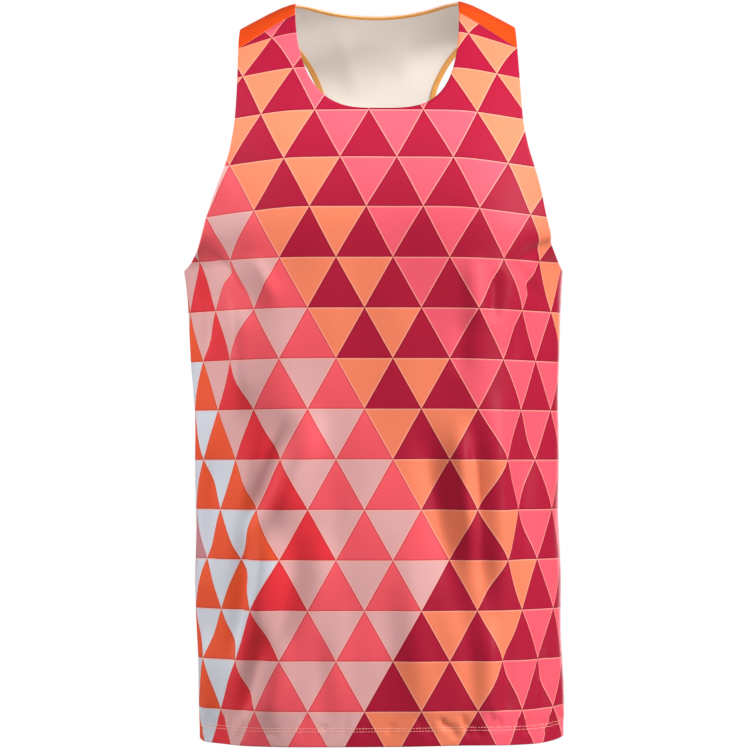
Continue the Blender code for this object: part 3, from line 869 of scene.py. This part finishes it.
def panel(name, nodes, cut, tip, plain_until):
    """A cloth panel with its wall, its hem turned up, printed outside and plain inside."""
    sizes = bpy.context.scene.singlet_sizes
    starts = {hand: strap_start(cut, hand) for hand in (-1, 1)}
    grids = [body_grid(cut, starts)] + [strap_grid(cut, starts, hand) for hand in (-1, 1)]
    mesh = mesh_of(name, grids)
    turn_outwards(mesh, cut.cloth.face)
    materials = [
        printed_knit(name + "_dyed_interlock", tip, plain_until),
        knit_reverse(),
        knit_edge(),
    ]
    piece = add_piece(name, mesh, materials)
    wall = piece.modifiers.new("wall", "SOLIDIFY")
    wall.thickness = sizes.wall
    wall.offset = -1.0
    wall.material_offset = 1
    wall.material_offset_rim = 2
    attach(piece, BODY)
    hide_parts(*nodes)
    flat = np.concatenate([grid.flat.reshape(-1, 2) for grid in grids])
    size = flat.max(axis=0) - flat.min(axis=0)
    area = sum(grid.flat_area() for grid in grids)
    piece["flat_width"], piece["flat_length"], piece["flat_area"] = float(size[0]), float(size[1]), area
    return piece


# ---------------------------------------------------------------------------------------------------------
# Tapes and stitches
# ---------------------------------------------------------------------------------------------------------

PATH_STEP = 2.5  # mm between the points of a tape's or a seam's line
TAPE_PROFILE = (  # share across the width, share of the thickness
    (0.0, 0.25),
    (0.03, 0.75),
    (0.12, 1.0),
    (0.5, 0.9),
    (0.88, 1.0),
    (0.97, 0.75),
    (1.0, 0.25),
    (0.97, 0.0),
    (0.03, 0.0),
)
TAPE_SET_BACK = 0.4  # mm, how far the tape stays inside the panel's edge
TAPE_GAP = 0.03  # mm between the tape and the cloth
NECK_STEPS = 40  # along a quarter of the back neck
ARMHOLE_STEPS = 160
STITCH_SHARE = 0.8  # share of the pitch that a stitch takes up
BEAD_SEGMENTS, BEAD_RINGS = 8, 6
HEM_STITCH_PROUD = 0.3  # share of its radius by which the hem's thread lies out
HEM_STITCH_INSET = 1.0  # mm, how far the hem's rows stop before the side seams
TAPE_STITCH_SHARE = 0.82  # share of the tape's width at which its row is sewn
TAPE_STITCH_PROUD = 0.05  # mm


def even_path(points, step):
    """A line of flat places walked at an even step."""
    points = np.array(points, float)
    marks = np.concatenate([[0.0], np.cumsum(np.linalg.norm(np.diff(points, axis=0), axis=1))])
    places = np.linspace(0, marks[-1], max(int(marks[-1] / step), 2) + 1)
    return np.stack([np.interp(places, marks, points[:, k]) for k in (0, 1)], axis=1)


def back_neck_line():
    """Edge of the back neck, from seam to seam."""
    half = []
    for k in range(NECK_STEPS + 1):
        angle = math.pi / 2 * k / NECK_STEPS
        half.append((NECK_HALF * math.sin(angle), BACK_NECK_DOWN * math.cos(angle)))
    half.append((NECK_HALF, back_seam(0)))
    return [(-across, down) for across, down in half[:0:-1]] + half


def back_armhole_line(hand):
    """Edge of a back armhole, from the armpit up to the shoulder seam."""
    bottom, top = BACK.down_at(ARMPIT_DROP), back_seam(1)
    downs = [mix(bottom, top, (k / ARMHOLE_STEPS) ** CROWDING) for k in range(ARMHOLE_STEPS + 1)]
    return [(hand * back_edge(down, hand), down) for down in downs]


def sideways_of(path):
    """Unit steps to the left of a flat line, at each of its points."""
    ahead = np.gradient(path, axis=0)
    ahead = ahead / np.linalg.norm(ahead, axis=1, keepdims=True)
    return np.stack([-ahead[:, 1], ahead[:, 0]], axis=1)


def tape(name, node, line, inwards):
    """A folded tape sewn inside the back panel along one of its edges."""
    sizes = bpy.context.scene.singlet_sizes
    width, thickness = sizes.tape_width / MM, sizes.tape_thickness / MM
    path = even_path(line, PATH_STEP)
    side = sideways_of(path) * inwards
    rings = []
    for share, rise in TAPE_PROFILE:
        flat = path + side * (TAPE_SET_BACK + share * width)
        proud = -(sizes.wall / MM + TAPE_GAP + rise * thickness)
        rings.append(BACK_CLOTH.lay(flat[:, 0], flat[:, 1], proud))
    rings = np.array(rings)
    count, steps = rings.shape[:2]
    index = np.arange(count * steps).reshape(count, steps)
    faces = []
    for k in range(count):
        a, b = index[k], index[(k + 1) % count]
        faces += [(a[i], a[i + 1], b[i + 1], b[i]) for i in range(steps - 1)]
    faces += [tuple(index[:, 0]), tuple(index[::-1, -1])]
    mesh = bpy.data.meshes.new(name)
    mesh.from_pydata(rings.reshape(-1, 3).tolist(), [], [[int(i) for i in face] for face in faces])
    shape = bmesh.new()
    shape.from_mesh(mesh)
    bmesh.ops.recalc_face_normals(shape, faces=shape.faces)
    shape.to_mesh(mesh)
    shape.free()
    piece = add_piece(name, mesh, [binding_tape()])
    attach(piece, BODY)
    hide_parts(node)
    return piece


def add_node(tree, kind, inputs=None, **settings):
    """Add a node, set its properties, and set or link its inputs by name or number."""
    node = tree.nodes.new(kind)
    for name, value in settings.items():
        setattr(node, name, value)
    for key, value in (inputs or {}).items():
        socket = node.inputs[key]
        if isinstance(value, bpy.types.NodeSocket):
            tree.links.new(value, socket)
        else:
            socket.default_value = value
    return node


def stitch_tree():
    """Geometry Nodes: a row of stitches along a line. Each stitch is a small bead of thread."""
    tree = bpy.data.node_groups.new("stitch row", "GeometryNodeTree")
    tree.is_modifier = True
    face = tree.interface
    face.new_socket("Line", in_out="INPUT", socket_type="NodeSocketGeometry")
    for name in ("Pitch", "Stitch length", "Thread radius"):
        socket = face.new_socket(name, in_out="INPUT", socket_type="NodeSocketFloat")
        socket.subtype = "DISTANCE"
    face.new_socket("Thread", in_out="INPUT", socket_type="NodeSocketMaterial")
    face.new_socket("Stitches", in_out="OUTPUT", socket_type="NodeSocketGeometry")
    given = tree.nodes.new("NodeGroupInput").outputs
    line = add_node(tree, "GeometryNodeMeshToCurve", {"Mesh": given["Line"]})
    points = add_node(
        tree, "GeometryNodeCurveToPoints", {"Curve": line.outputs[0], "Length": given["Pitch"]}, mode="LENGTH"
    )
    bead = add_node(
        tree, "GeometryNodeMeshUVSphere", {"Segments": BEAD_SEGMENTS, "Rings": BEAD_RINGS, "Radius": 1.0}
    )
    half = add_node(tree, "ShaderNodeMath", {0: given["Stitch length"], 1: 0.5}, operation="MULTIPLY")
    size = add_node(
        tree,
        "ShaderNodeCombineXYZ",
        {"X": given["Thread radius"], "Y": given["Thread radius"], "Z": half.outputs[0]},
    )
    row = add_node(
        tree,
        "GeometryNodeInstanceOnPoints",
        {
            "Points": points.outputs["Points"],
            "Instance": bead.outputs["Mesh"],
            "Rotation": points.outputs["Rotation"],
            "Scale": size.outputs[0],
        },
    )
    real = add_node(tree, "GeometryNodeRealizeInstances", {"Geometry": row.outputs[0]})
    dressed = add_node(
        tree, "GeometryNodeSetMaterial", {"Geometry": real.outputs[0], "Material": given["Thread"]}
    )
    out = tree.nodes.new("NodeGroupOutput")
    tree.links.new(dressed.outputs[0], out.inputs[0])
    return tree


def sew(name, lines, thread):
    """Rows of stitches along lines of places, as one plain mesh."""
    sizes = bpy.context.scene.singlet_sizes
    tree = bpy.data.node_groups.get("stitch row") or stitch_tree()
    places, edges = [], []
    for line in lines:
        start = len(places)
        places += [tuple(place) for place in line]
        edges += [(start + k, start + k + 1) for k in range(len(line) - 1)]
    guide_mesh = bpy.data.meshes.new(name + "_line")
    guide_mesh.from_pydata(places, edges, [])
    guide = bpy.data.objects.new(name + "_line", guide_mesh)
    bpy.context.scene.collection.objects.link(guide)
    modifier = guide.modifiers.new("stitches", "NODES")
    modifier.node_group = tree
    values = {
        "Pitch": sizes.stitch_pitch,
        "Stitch length": sizes.stitch_pitch * STITCH_SHARE,
        "Thread radius": sizes.thread,
        "Thread": thread,
    }
    for item in tree.interface.items_tree:
        if item.in_out == "INPUT" and item.name in values:
            modifier[item.identifier] = values[item.name]
    evaluated = guide.evaluated_get(bpy.context.evaluated_depsgraph_get())
    mesh = bpy.data.meshes.new_from_object(evaluated)
    mesh.name = name
    bpy.data.objects.remove(guide, do_unlink=True)
    piece = add_piece(name, mesh, [])
    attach(piece, BODY)
    return piece


# ---------------------------------------------------------------------------------------------------------
# Materials
# ---------------------------------------------------------------------------------------------------------

WALE = 1.1  # mm between the knit's columns of loops, wider than on real cloth so that they show
COURSE = 1.3  # mm between its rows of loops
COURSE_HEIGHT = 0.45  # height of a row of loops against a column's
LINE_CORE = 1.5  # a cell's line is whole to half its width from the cell's edge and ends at this many widths
PALE_LINE, PALE_LINE_SHARE = 1.0, 0.6  # mm and strength of the pale line round a light cell
DARK_LINE, DARK_LINE_SHARE = 0.9, 0.65  # mm and strength of the darker line round a dark cell
FAINTER_INSIDE = 0.25  # how much weaker the dark line is inside the border
DEEPENING = 0.16  # share of the deep ink at an upright triangle's base
DYE_PATCHES = 24.0  # patches of stronger and weaker dye in a metre
DYE_LEAST, DYE_SPREAD = 0.94, 0.12
LOOP_HIGHLIGHT_SHARE = 0.1  # share of the painted highlight colour on the tops of the reverse's loops
EDGE_DYE = 0.12  # mean share of the pink dye left on a turned edge
TAPE_GRAIN = (0.5, -0.1)  # factor on the tape's grain, and what is added to it
THREAD_SHADE = 0.85  # brightness of a thread's darker specks
CHEST_LIGHT_END, CHEST_LIGHT_FADE = 170.0, 115.0  # mm down, where the painted light on the chest ends, and how softly
# painted light from above: how much paler and pinker the chest and shoulders are made
PAINTED_CHEST_LIGHT_TINT = (1.4, 1.55, 1.55)


def new_material(name):
    material = bpy.data.materials.new(name)
    material.use_nodes = True
    tree = material.node_tree
    shader = tree.nodes["Principled BSDF"]
    return material, tree, shader


def maths(tree, operation, *values, clamp=False):
    return add_node(
        tree, "ShaderNodeMath", dict(enumerate(values)), operation=operation, use_clamp=clamp
    ).outputs[0]


def blend_colours(tree, share, first, second, blend_type="MIX"):
    inputs = {0: share, 6: first, 7: second}
    return add_node(tree, "ShaderNodeMix", inputs, data_type="RGBA", blend_type=blend_type).outputs[2]


def flat_place(tree):
    """Across and down on the flat cloth, in millimetres."""
    uv = add_node(tree, "ShaderNodeUVMap", uv_map="cloth")
    apart = add_node(tree, "ShaderNodeSeparateXYZ", {0: uv.outputs[0]})
    return [maths(tree, "MULTIPLY", apart.outputs[k], 1 / MM) for k in (0, 1)]


def loop_height(tree, across, down):
    """Height of the knit's loops: rounded columns, each crossed by rounded rows."""
    wales = maths(tree, "ABSOLUTE", maths(tree, "SINE", maths(tree, "MULTIPLY", across, math.pi / WALE)))
    courses = maths(tree, "ABSOLUTE", maths(tree, "SINE", maths(tree, "MULTIPLY", down, math.pi / COURSE)))
    return maths(tree, "MULTIPLY_ADD", courses, COURSE_HEIGHT, wales)


def knit_bump(tree, across, down, shader, strength, distance):
    bump = add_node(
        tree,
        "ShaderNodeBump",
        {"Strength": strength, "Distance": distance, "Height": loop_height(tree, across, down)},
    )
    tree.links.new(bump.outputs[0], shader.inputs["Normal"])


def band_ramp(tree, counts, which):
    """Ink of a cell from its count of cells from the border."""
    inks = bpy.context.scene.singlet_inks
    first = BANDS[0].first
    place = maths(tree, "DIVIDE", maths(tree, "SUBTRACT", counts, first - 0.5), BAND_COUNTS)
    ramp = add_node(tree, "ShaderNodeValToRGB", {0: place})
    ramp.color_ramp.interpolation = "CONSTANT"
    stops = ramp.color_ramp.elements
    while len(stops) < len(BANDS):
        stops.new(1.0)
    for k, band in enumerate(BANDS):
        stops[k].position = (band.first - first) / BAND_COUNTS
        stops[k].color = (*getattr(inks, getattr(band, which)), 1.0)
    return ramp.outputs[0]


def printed_knit(name, tip, plain_until):
    """Dyed polyester interlock: a smooth knit that takes dye in clear colours, with a faint soft shine."""
    material, tree, shader = new_material(name)
    inks = bpy.context.scene.singlet_inks
    across, down = flat_place(tree)

    # two slanted counts and one level count of lines: floors name the cell, fractions place a point in it
    columns = maths(tree, "DIVIDE", maths(tree, "SUBTRACT", across, COLUMN_START), CELL_BASE)
    rows = maths(tree, "DIVIDE", maths(tree, "SUBTRACT", down, ROW_START), CELL_ROW)
    half_rows = maths(tree, "MULTIPLY", rows, 0.5)
    left_slant = maths(tree, "ADD", columns, half_rows)
    right_slant = maths(tree, "SUBTRACT", columns, half_rows)
    floors = [maths(tree, "FLOOR", value) for value in (left_slant, right_slant, rows)]
    upright = maths(tree, "SUBTRACT", maths(tree, "SUBTRACT", floors[0], floors[1]), floors[2])

    # distance to the nearest of the three families of lines, in millimetres
    slant_step = 1 / math.hypot(1 / CELL_BASE, 0.5 / CELL_ROW)
    gaps = []
    for value, step in ((left_slant, slant_step), (right_slant, slant_step), (rows, CELL_ROW)):
        gaps.append(maths(tree, "MULTIPLY", maths(tree, "PINGPONG", value, 0.5), step))
    nearest = maths(tree, "MINIMUM", maths(tree, "MINIMUM", gaps[0], gaps[1]), gaps[2])

    # the border is an arrowhead: count cells outwards from its nearer arm
    tip_left = (tip.columns + tip.row) / 2
    tip_right = (tip.columns - tip.row) / 2
    counts = maths(
        tree,
        "MAXIMUM",
        maths(tree, "SUBTRACT", floors[0], tip_left),
        maths(tree, "SUBTRACT", floors[1], tip_right),
    )
    dark = band_ramp(tree, counts, "upright")
    light = band_ramp(tree, counts, "hanging")

    # dark cells deepen towards their base, and each cell has a fine line round it
    into_row = maths(tree, "SUBTRACT", rows, floors[2])
    dark = blend_colours(tree, maths(tree, "MULTIPLY", into_row, DEEPENING), dark, (*inks.deep, 1))
    dark_line = maths(tree, "SUBTRACT", LINE_CORE, maths(tree, "DIVIDE", nearest, DARK_LINE), clamp=True)
    inside = maths(tree, "LESS_THAN", counts, -0.5)
    strength = maths(tree, "MULTIPLY_ADD", inside, -FAINTER_INSIDE, DARK_LINE_SHARE)
    dark = blend_colours(tree, maths(tree, "MULTIPLY", dark_line, strength), dark, (*inks.dark_line, 1))
    pale_line = maths(tree, "SUBTRACT", LINE_CORE, maths(tree, "DIVIDE", nearest, PALE_LINE), clamp=True)
    strength = maths(tree, "MULTIPLY", pale_line, PALE_LINE_SHARE)
    light = blend_colours(tree, strength, light, (*inks.pale_line, 1))
    colour = blend_colours(tree, upright, light, dark)

    # painted light from above: the colour is made paler and pinker over the chest and shoulders
    below = maths(tree, "DIVIDE", maths(tree, "SUBTRACT", down, CHEST_LIGHT_END), CHEST_LIGHT_FADE)
    chest = maths(tree, "SUBTRACT", 1.0, below, clamp=True)
    colour = blend_colours(tree, chest, colour, (*PAINTED_CHEST_LIGHT_TINT, 1), "MULTIPLY")
    plain = maths(tree, "LESS_THAN", down, plain_until)
    colour = blend_colours(tree, plain, colour, (*inks.yoke, 1))

    # slight unevenness of the dye
    place = add_node(tree, "ShaderNodeUVMap", uv_map="cloth").outputs[0]
    patches = add_node(
        tree, "ShaderNodeTexNoise", {"Vector": place, "Scale": DYE_PATCHES, "Detail": 3.0}
    ).outputs[0]
    tone = maths(tree, "MULTIPLY_ADD", patches, DYE_SPREAD, DYE_LEAST)
    shade = add_node(tree, "ShaderNodeCombineColor", {0: tone, 1: tone, 2: tone}).outputs[0]
    colour = blend_colours(tree, 1.0, colour, shade, "MULTIPLY")
    tree.links.new(colour, shader.inputs["Base Color"])
    shader.inputs["Roughness"].default_value = 0.5
    shader.inputs["Specular IOR Level"].default_value = 0.1
    knit_bump(tree, across, down, shader, strength=0.25, distance=0.05 * MM)
    return material


def knit_reverse():
    """Undyed reverse of the same knit: white polyester, a little warm from the print, matt and chalky, with a
    painted highlight on the tops of its loops.
    """
    known = bpy.data.materials.get("undyed_interlock_reverse")
    if known:
        return known
    material, tree, shader = new_material("undyed_interlock_reverse")
    inks = bpy.context.scene.singlet_inks
    across, down = flat_place(tree)
    loops = loop_height(tree, across, down)
    # painted highlight: the tops of the loops are made paler
    painted_loop_highlight = maths(tree, "MULTIPLY", loops, LOOP_HIGHLIGHT_SHARE, clamp=True)
    colour = blend_colours(tree, painted_loop_highlight, (*inks.reverse, 1), (*inks.reverse_loop_highlight, 1))
    tree.links.new(colour, shader.inputs["Base Color"])
    shader.inputs["Roughness"].default_value = 0.8
    shader.inputs["Specular IOR Level"].default_value = 0.25
    shader.inputs["Sheen Weight"].default_value = 0.1
    knit_bump(tree, across, down, shader, strength=0.35, distance=0.06 * MM)
    return material


def knit_edge():
    """Turned edge of the knit, where the dye thins to the white yarn: a pale line round each opening."""
    known = bpy.data.materials.get("thinly_dyed_interlock_edge")
    if known:
        return known
    material, tree, shader = new_material("thinly_dyed_interlock_edge")
    inks = bpy.context.scene.singlet_inks
    across, down = flat_place(tree)
    turn = maths(tree, "SINE", maths(tree, "MULTIPLY", maths(tree, "ADD", across, down), math.pi / WALE))
    share = maths(tree, "MULTIPLY_ADD", turn, EDGE_DYE, EDGE_DYE)
    colour = blend_colours(tree, share, (*inks.edge, 1), (*inks.pink, 1))
    tree.links.new(colour, shader.inputs["Base Color"])
    shader.inputs["Roughness"].default_value = 0.7
    return material


def binding_tape():
    """Amber binding tape: a knitted polyester tape, matt, with a fine uneven grain."""
    known = bpy.data.materials.get("amber_binding_tape")
    if known:
        return known
    material, tree, shader = new_material("amber_binding_tape")
    inks = bpy.context.scene.singlet_inks
    place = add_node(tree, "ShaderNodeTexCoord").outputs["Object"]
    loops = add_node(tree, "ShaderNodeTexNoise", {"Vector": place, "Scale": 900.0, "Detail": 1.0}).outputs[0]
    shade = maths(tree, "MULTIPLY_ADD", loops, *TAPE_GRAIN, clamp=True)
    colour = blend_colours(tree, shade, (*inks.amber, 1), (*inks.amber_shade, 1))
    tree.links.new(colour, shader.inputs["Base Color"])
    shader.inputs["Roughness"].default_value = 0.75
    shader.inputs["Sheen Weight"].default_value = 0.1
    bump = add_node(tree, "ShaderNodeBump", {"Strength": 0.4, "Distance": 0.1 * MM, "Height": loops})
    tree.links.new(bump.outputs[0], shader.inputs["Normal"])
    return material


def thread_material(name, colour):
    """Spun polyester thread: finely mottled, with a dull lustre."""
    known = bpy.data.materials.get(name)
    if known:
        return known
    material, tree, shader = new_material(name)
    place = add_node(tree, "ShaderNodeTexCoord").outputs["Object"]
    specks = add_node(tree, "ShaderNodeTexNoise", {"Vector": place, "Scale": 1500.0, "Detail": 0.0})
    dark = tuple(channel * THREAD_SHADE for channel in colour)
    shade = blend_colours(tree, specks.outputs[0], (*dark, 1), (*colour, 1))
    tree.links.new(shade, shader.inputs["Base Color"])
    shader.inputs["Roughness"].default_value = 0.55
    return material


# ---------------------------------------------------------------------------------------------------------
# The studio
# ---------------------------------------------------------------------------------------------------------

FLOOR_DROP = -1.45  # m, the floor below the shoulders of someone standing
FLOOR_HALF = 4.0  # m, half its width
FLOOR_GLOW = 0.55  # keeps the floor pale beyond the softboxes' reach

Softbox = namedtuple("Softbox", "name place aim width height spread")  # metres, and degrees for the spread
SOFTBOXES = (
    Softbox("right", (3.75, -2.15, 1.0), (0, 0, -0.35), 1.2, 1.2, 180),
    Softbox("left", (-1.7, -1.15, 0.9), (-0.12, 0, -0.42), 0.4, 0.4, 32),
    Softbox("rim", (-4.0, 1.0, 0.8), (0, 0, -0.35), 1.4, 1.4, 180),
    Softbox("front", (0.4, -4.8, 2.4), (0, 0, -0.35), 1.6, 1.6, 180),
    Softbox("back", (1.2, 4.4, -0.3), (0, 0, -0.35), 1.6, 1.6, 180),
    Softbox("inside", (0, -0.05, -0.05), (0, 0.06, -0.045), 0.09, 0.03, 180),
)
PAPER_COLOURS = ((0.93, 0.93, 0.93, 1), (0.95, 0.95, 0.95, 1))
SENSOR_WIDTH = 36.0  # mm
CLIP_END = 100.0  # m, how far the camera sees


def studio_paper():
    """White background paper laid as the floor: matt, faintly uneven, with a little glow of its own."""
    material, tree, shader = new_material("white_background_paper")
    place = add_node(tree, "ShaderNodeTexCoord").outputs["Object"]
    tooth = add_node(tree, "ShaderNodeTexNoise", {"Vector": place, "Scale": 60.0})
    colour = blend_colours(tree, tooth.outputs[0], *PAPER_COLOURS)
    tree.links.new(colour, shader.inputs["Base Color"])
    shader.inputs["Roughness"].default_value = 0.95
    shader.inputs["Emission Color"].default_value = (1, 1, 1, 1)
    shader.inputs["Emission Strength"].default_value = FLOOR_GLOW
    return material


def floor():
    """A plain pale floor."""
    sheet = bmesh.new()
    bmesh.ops.create_grid(sheet, size=FLOOR_HALF)
    bmesh.ops.translate(sheet, verts=sheet.verts, vec=(0, 0, FLOOR_DROP))
    mesh = bpy.data.meshes.new("studio_floor")
    sheet.to_mesh(mesh)
    sheet.free()
    piece = add_piece("studio_floor", mesh, [studio_paper()])
    piece.visible_diffuse = False  # its glow doesn't light the cloth
    return piece


def softbox(box, watts):
    """A softbox that looks at its aim. The camera doesn't see it."""
    light = bpy.data.lights.new(box.name + "_softbox", "AREA")
    light.shape = "RECTANGLE"
    light.size, light.size_y = box.width, box.height
    light.spread = math.radians(box.spread)
    light.energy = watts
    lamp = bpy.data.objects.new(box.name + "_softbox", light)
    lamp.location = box.place
    lamp.rotation_euler = (Vector(box.place) - Vector(box.aim)).to_track_quat("Z", "Y").to_euler()
    lamp.visible_camera = False
    bpy.context.scene.collection.objects.link(lamp)


def white_surroundings(sky):
    """Surroundings that look white to the camera and light the cloth much less."""
    world = bpy.data.worlds.new("white studio")
    world.use_nodes = True
    tree = world.node_tree
    seen = add_node(tree, "ShaderNodeLightPath").outputs["Is Camera Ray"]
    brightness = add_node(tree, "ShaderNodeMix", {"Factor": seen, "A": sky, "B": 1.0}, data_type="FLOAT")
    background = tree.nodes["Background"]
    background.inputs["Color"].default_value = (1, 1, 1, 1)
    tree.links.new(brightness.outputs[0], background.inputs["Strength"])
    return world


def far_camera(studio):
    """A long lens before the singlet, tilted up or down to its aim."""
    lens = bpy.data.cameras.new("camera")
    lens.lens = studio.lens
    lens.sensor_width = SENSOR_WIDTH
    lens.clip_end = CLIP_END
    camera = bpy.data.objects.new("camera", lens)
    camera.location = (studio.sideways, -studio.distance, studio.height)
    tilt = math.atan2(studio.aim - studio.height, studio.distance)
    camera.rotation_euler = (math.pi / 2 + tilt, 0, 0)
    bpy.context.scene.collection.objects.link(camera)
    return camera


# ---------------------------------------------------------------------------------------------------------
# Operators
# ---------------------------------------------------------------------------------------------------------


class SINGLET_OT_front(bpy.types.Operator):
    """Cut, lay and crease the front panel"""

    bl_idname = "singlet.front"
    bl_label = "Front panel"

    def execute(self, context):
        piece = panel("front", ("front_body", "front_chest"), FRONT_CUT, FRONT_TIP, NO_PLAIN_YOKE)
        return {"FINISHED"}


class SINGLET_OT_back(bpy.types.Operator):
    """Cut, lay and crease the racer back panel, and sew its tapes in"""

    bl_idname = "singlet.back"
    bl_label = "Back panel and tapes"

    def execute(self, context):
        piece = panel("back", ("back_body", "back_yoke"), BACK_CUT, BACK_TIP, PLAIN_YOKE_END)
        tapes = [tape("back_neck_tape", "neck_tape", back_neck_line(), 1)]
        for hand, side in ((-1, "right"), (1, "left")):
            tapes.append(tape(f"{side}_armhole_tape", f"armhole_tape_{side}", back_armhole_line(hand), -hand))
        return {"FINISHED"}


class SINGLET_OT_stitches(bpy.types.Operator):
    """Sew the hem's two rows and the tapes' rows"""

    bl_idname = "singlet.stitches"
    bl_label = "Stitches"

    def execute(self, context):
        sizes, inks = context.scene.singlet_sizes, context.scene.singlet_inks
        rows = []
        for cut in (FRONT_CUT, BACK_CUT):
            bottom = cut.cloth.face.bottom
            for above in (sizes.hem_stitch_low / MM, sizes.hem_stitch_high / MM):
                level = bottom - above
                right = -cut.edge(level, -1) + HEM_STITCH_INSET
                left = cut.edge(level, 1) - HEM_STITCH_INSET
                acrosses = np.arange(right, left, PATH_STEP)
                proud = sizes.thread / MM * HEM_STITCH_PROUD
                rows.append(cut.cloth.lay(acrosses, np.full_like(acrosses, level), proud))
        sew("hem_stitches", rows, thread_material("coral_thread", tuple(inks.hem_thread)))
        rows = []
        width, depth = sizes.tape_width / MM, (sizes.wall + sizes.tape_thickness) / MM
        for line, inwards in (
            (back_neck_line(), 1),
            (back_armhole_line(-1), 1),
            (back_armhole_line(1), -1),
        ):
            path = even_path(line, PATH_STEP)
            path = path + sideways_of(path) * inwards * (TAPE_SET_BACK + TAPE_STITCH_SHARE * width)
            rows.append(BACK_CLOTH.lay(path[:, 0], path[:, 1], -depth - TAPE_STITCH_PROUD))
        sew("tape_stitches", rows, thread_material("amber_thread", tuple(inks.tape_thread)))
        return {"FINISHED"}


class SINGLET_OT_studio(bpy.types.Operator):
    """Set up the floor, the softboxes, the white surroundings and the camera"""

    bl_idname = "singlet.studio"
    bl_label = "Studio"

    def execute(self, context):
        studio = context.scene.singlet_studio
        floor()
        for box in SOFTBOXES:
            softbox(box, getattr(studio, box.name))
        context.scene.world = white_surroundings(studio.sky)
        context.scene.view_settings.view_transform = "Standard"
        context.scene.camera = far_camera(studio)
        return {"FINISHED"}


class SINGLET_PT_panel(bpy.types.Panel):
    """Lists the singlet's sizes, colours and building steps"""

    bl_idname = "SINGLET_PT_panel"
    bl_label = "Running Singlet"
    bl_space_type = "VIEW_3D"
    bl_region_type = "UI"
    bl_category = "Singlet"

    def draw(self, context):
        layout = self.layout
        for operator in OPERATORS:
            layout.operator(operator.bl_idname)
        for group in (context.scene.singlet_sizes, context.scene.singlet_inks, context.scene.singlet_studio):
            box = layout.box()
            for name in group.__annotations__:
                box.prop(group, name)


OPERATORS = (SINGLET_OT_front, SINGLET_OT_back, SINGLET_OT_stitches, SINGLET_OT_studio)
GROUPS = {"singlet_inks": SingletInks, "singlet_sizes": SingletSizes, "singlet_studio": SingletStudio}


def register():
    for cls in (*GROUPS.values(), *OPERATORS, SINGLET_PT_panel):
        bpy.utils.register_class(cls)
    for name, group in GROUPS.items():
        setattr(bpy.types.Scene, name, PointerProperty(type=group))


def unregister():
    for name in GROUPS:
        delattr(bpy.types.Scene, name)
    for cls in reversed((*GROUPS.values(), *OPERATORS, SINGLET_PT_panel)):
        bpy.utils.unregister_class(cls)


def main():
    register()
    bpy.ops.singlet.front()
    bpy.ops.singlet.back()
    bpy.ops.singlet.stitches()
    bpy.ops.singlet.studio()


if __name__ == "__main__":
    main()
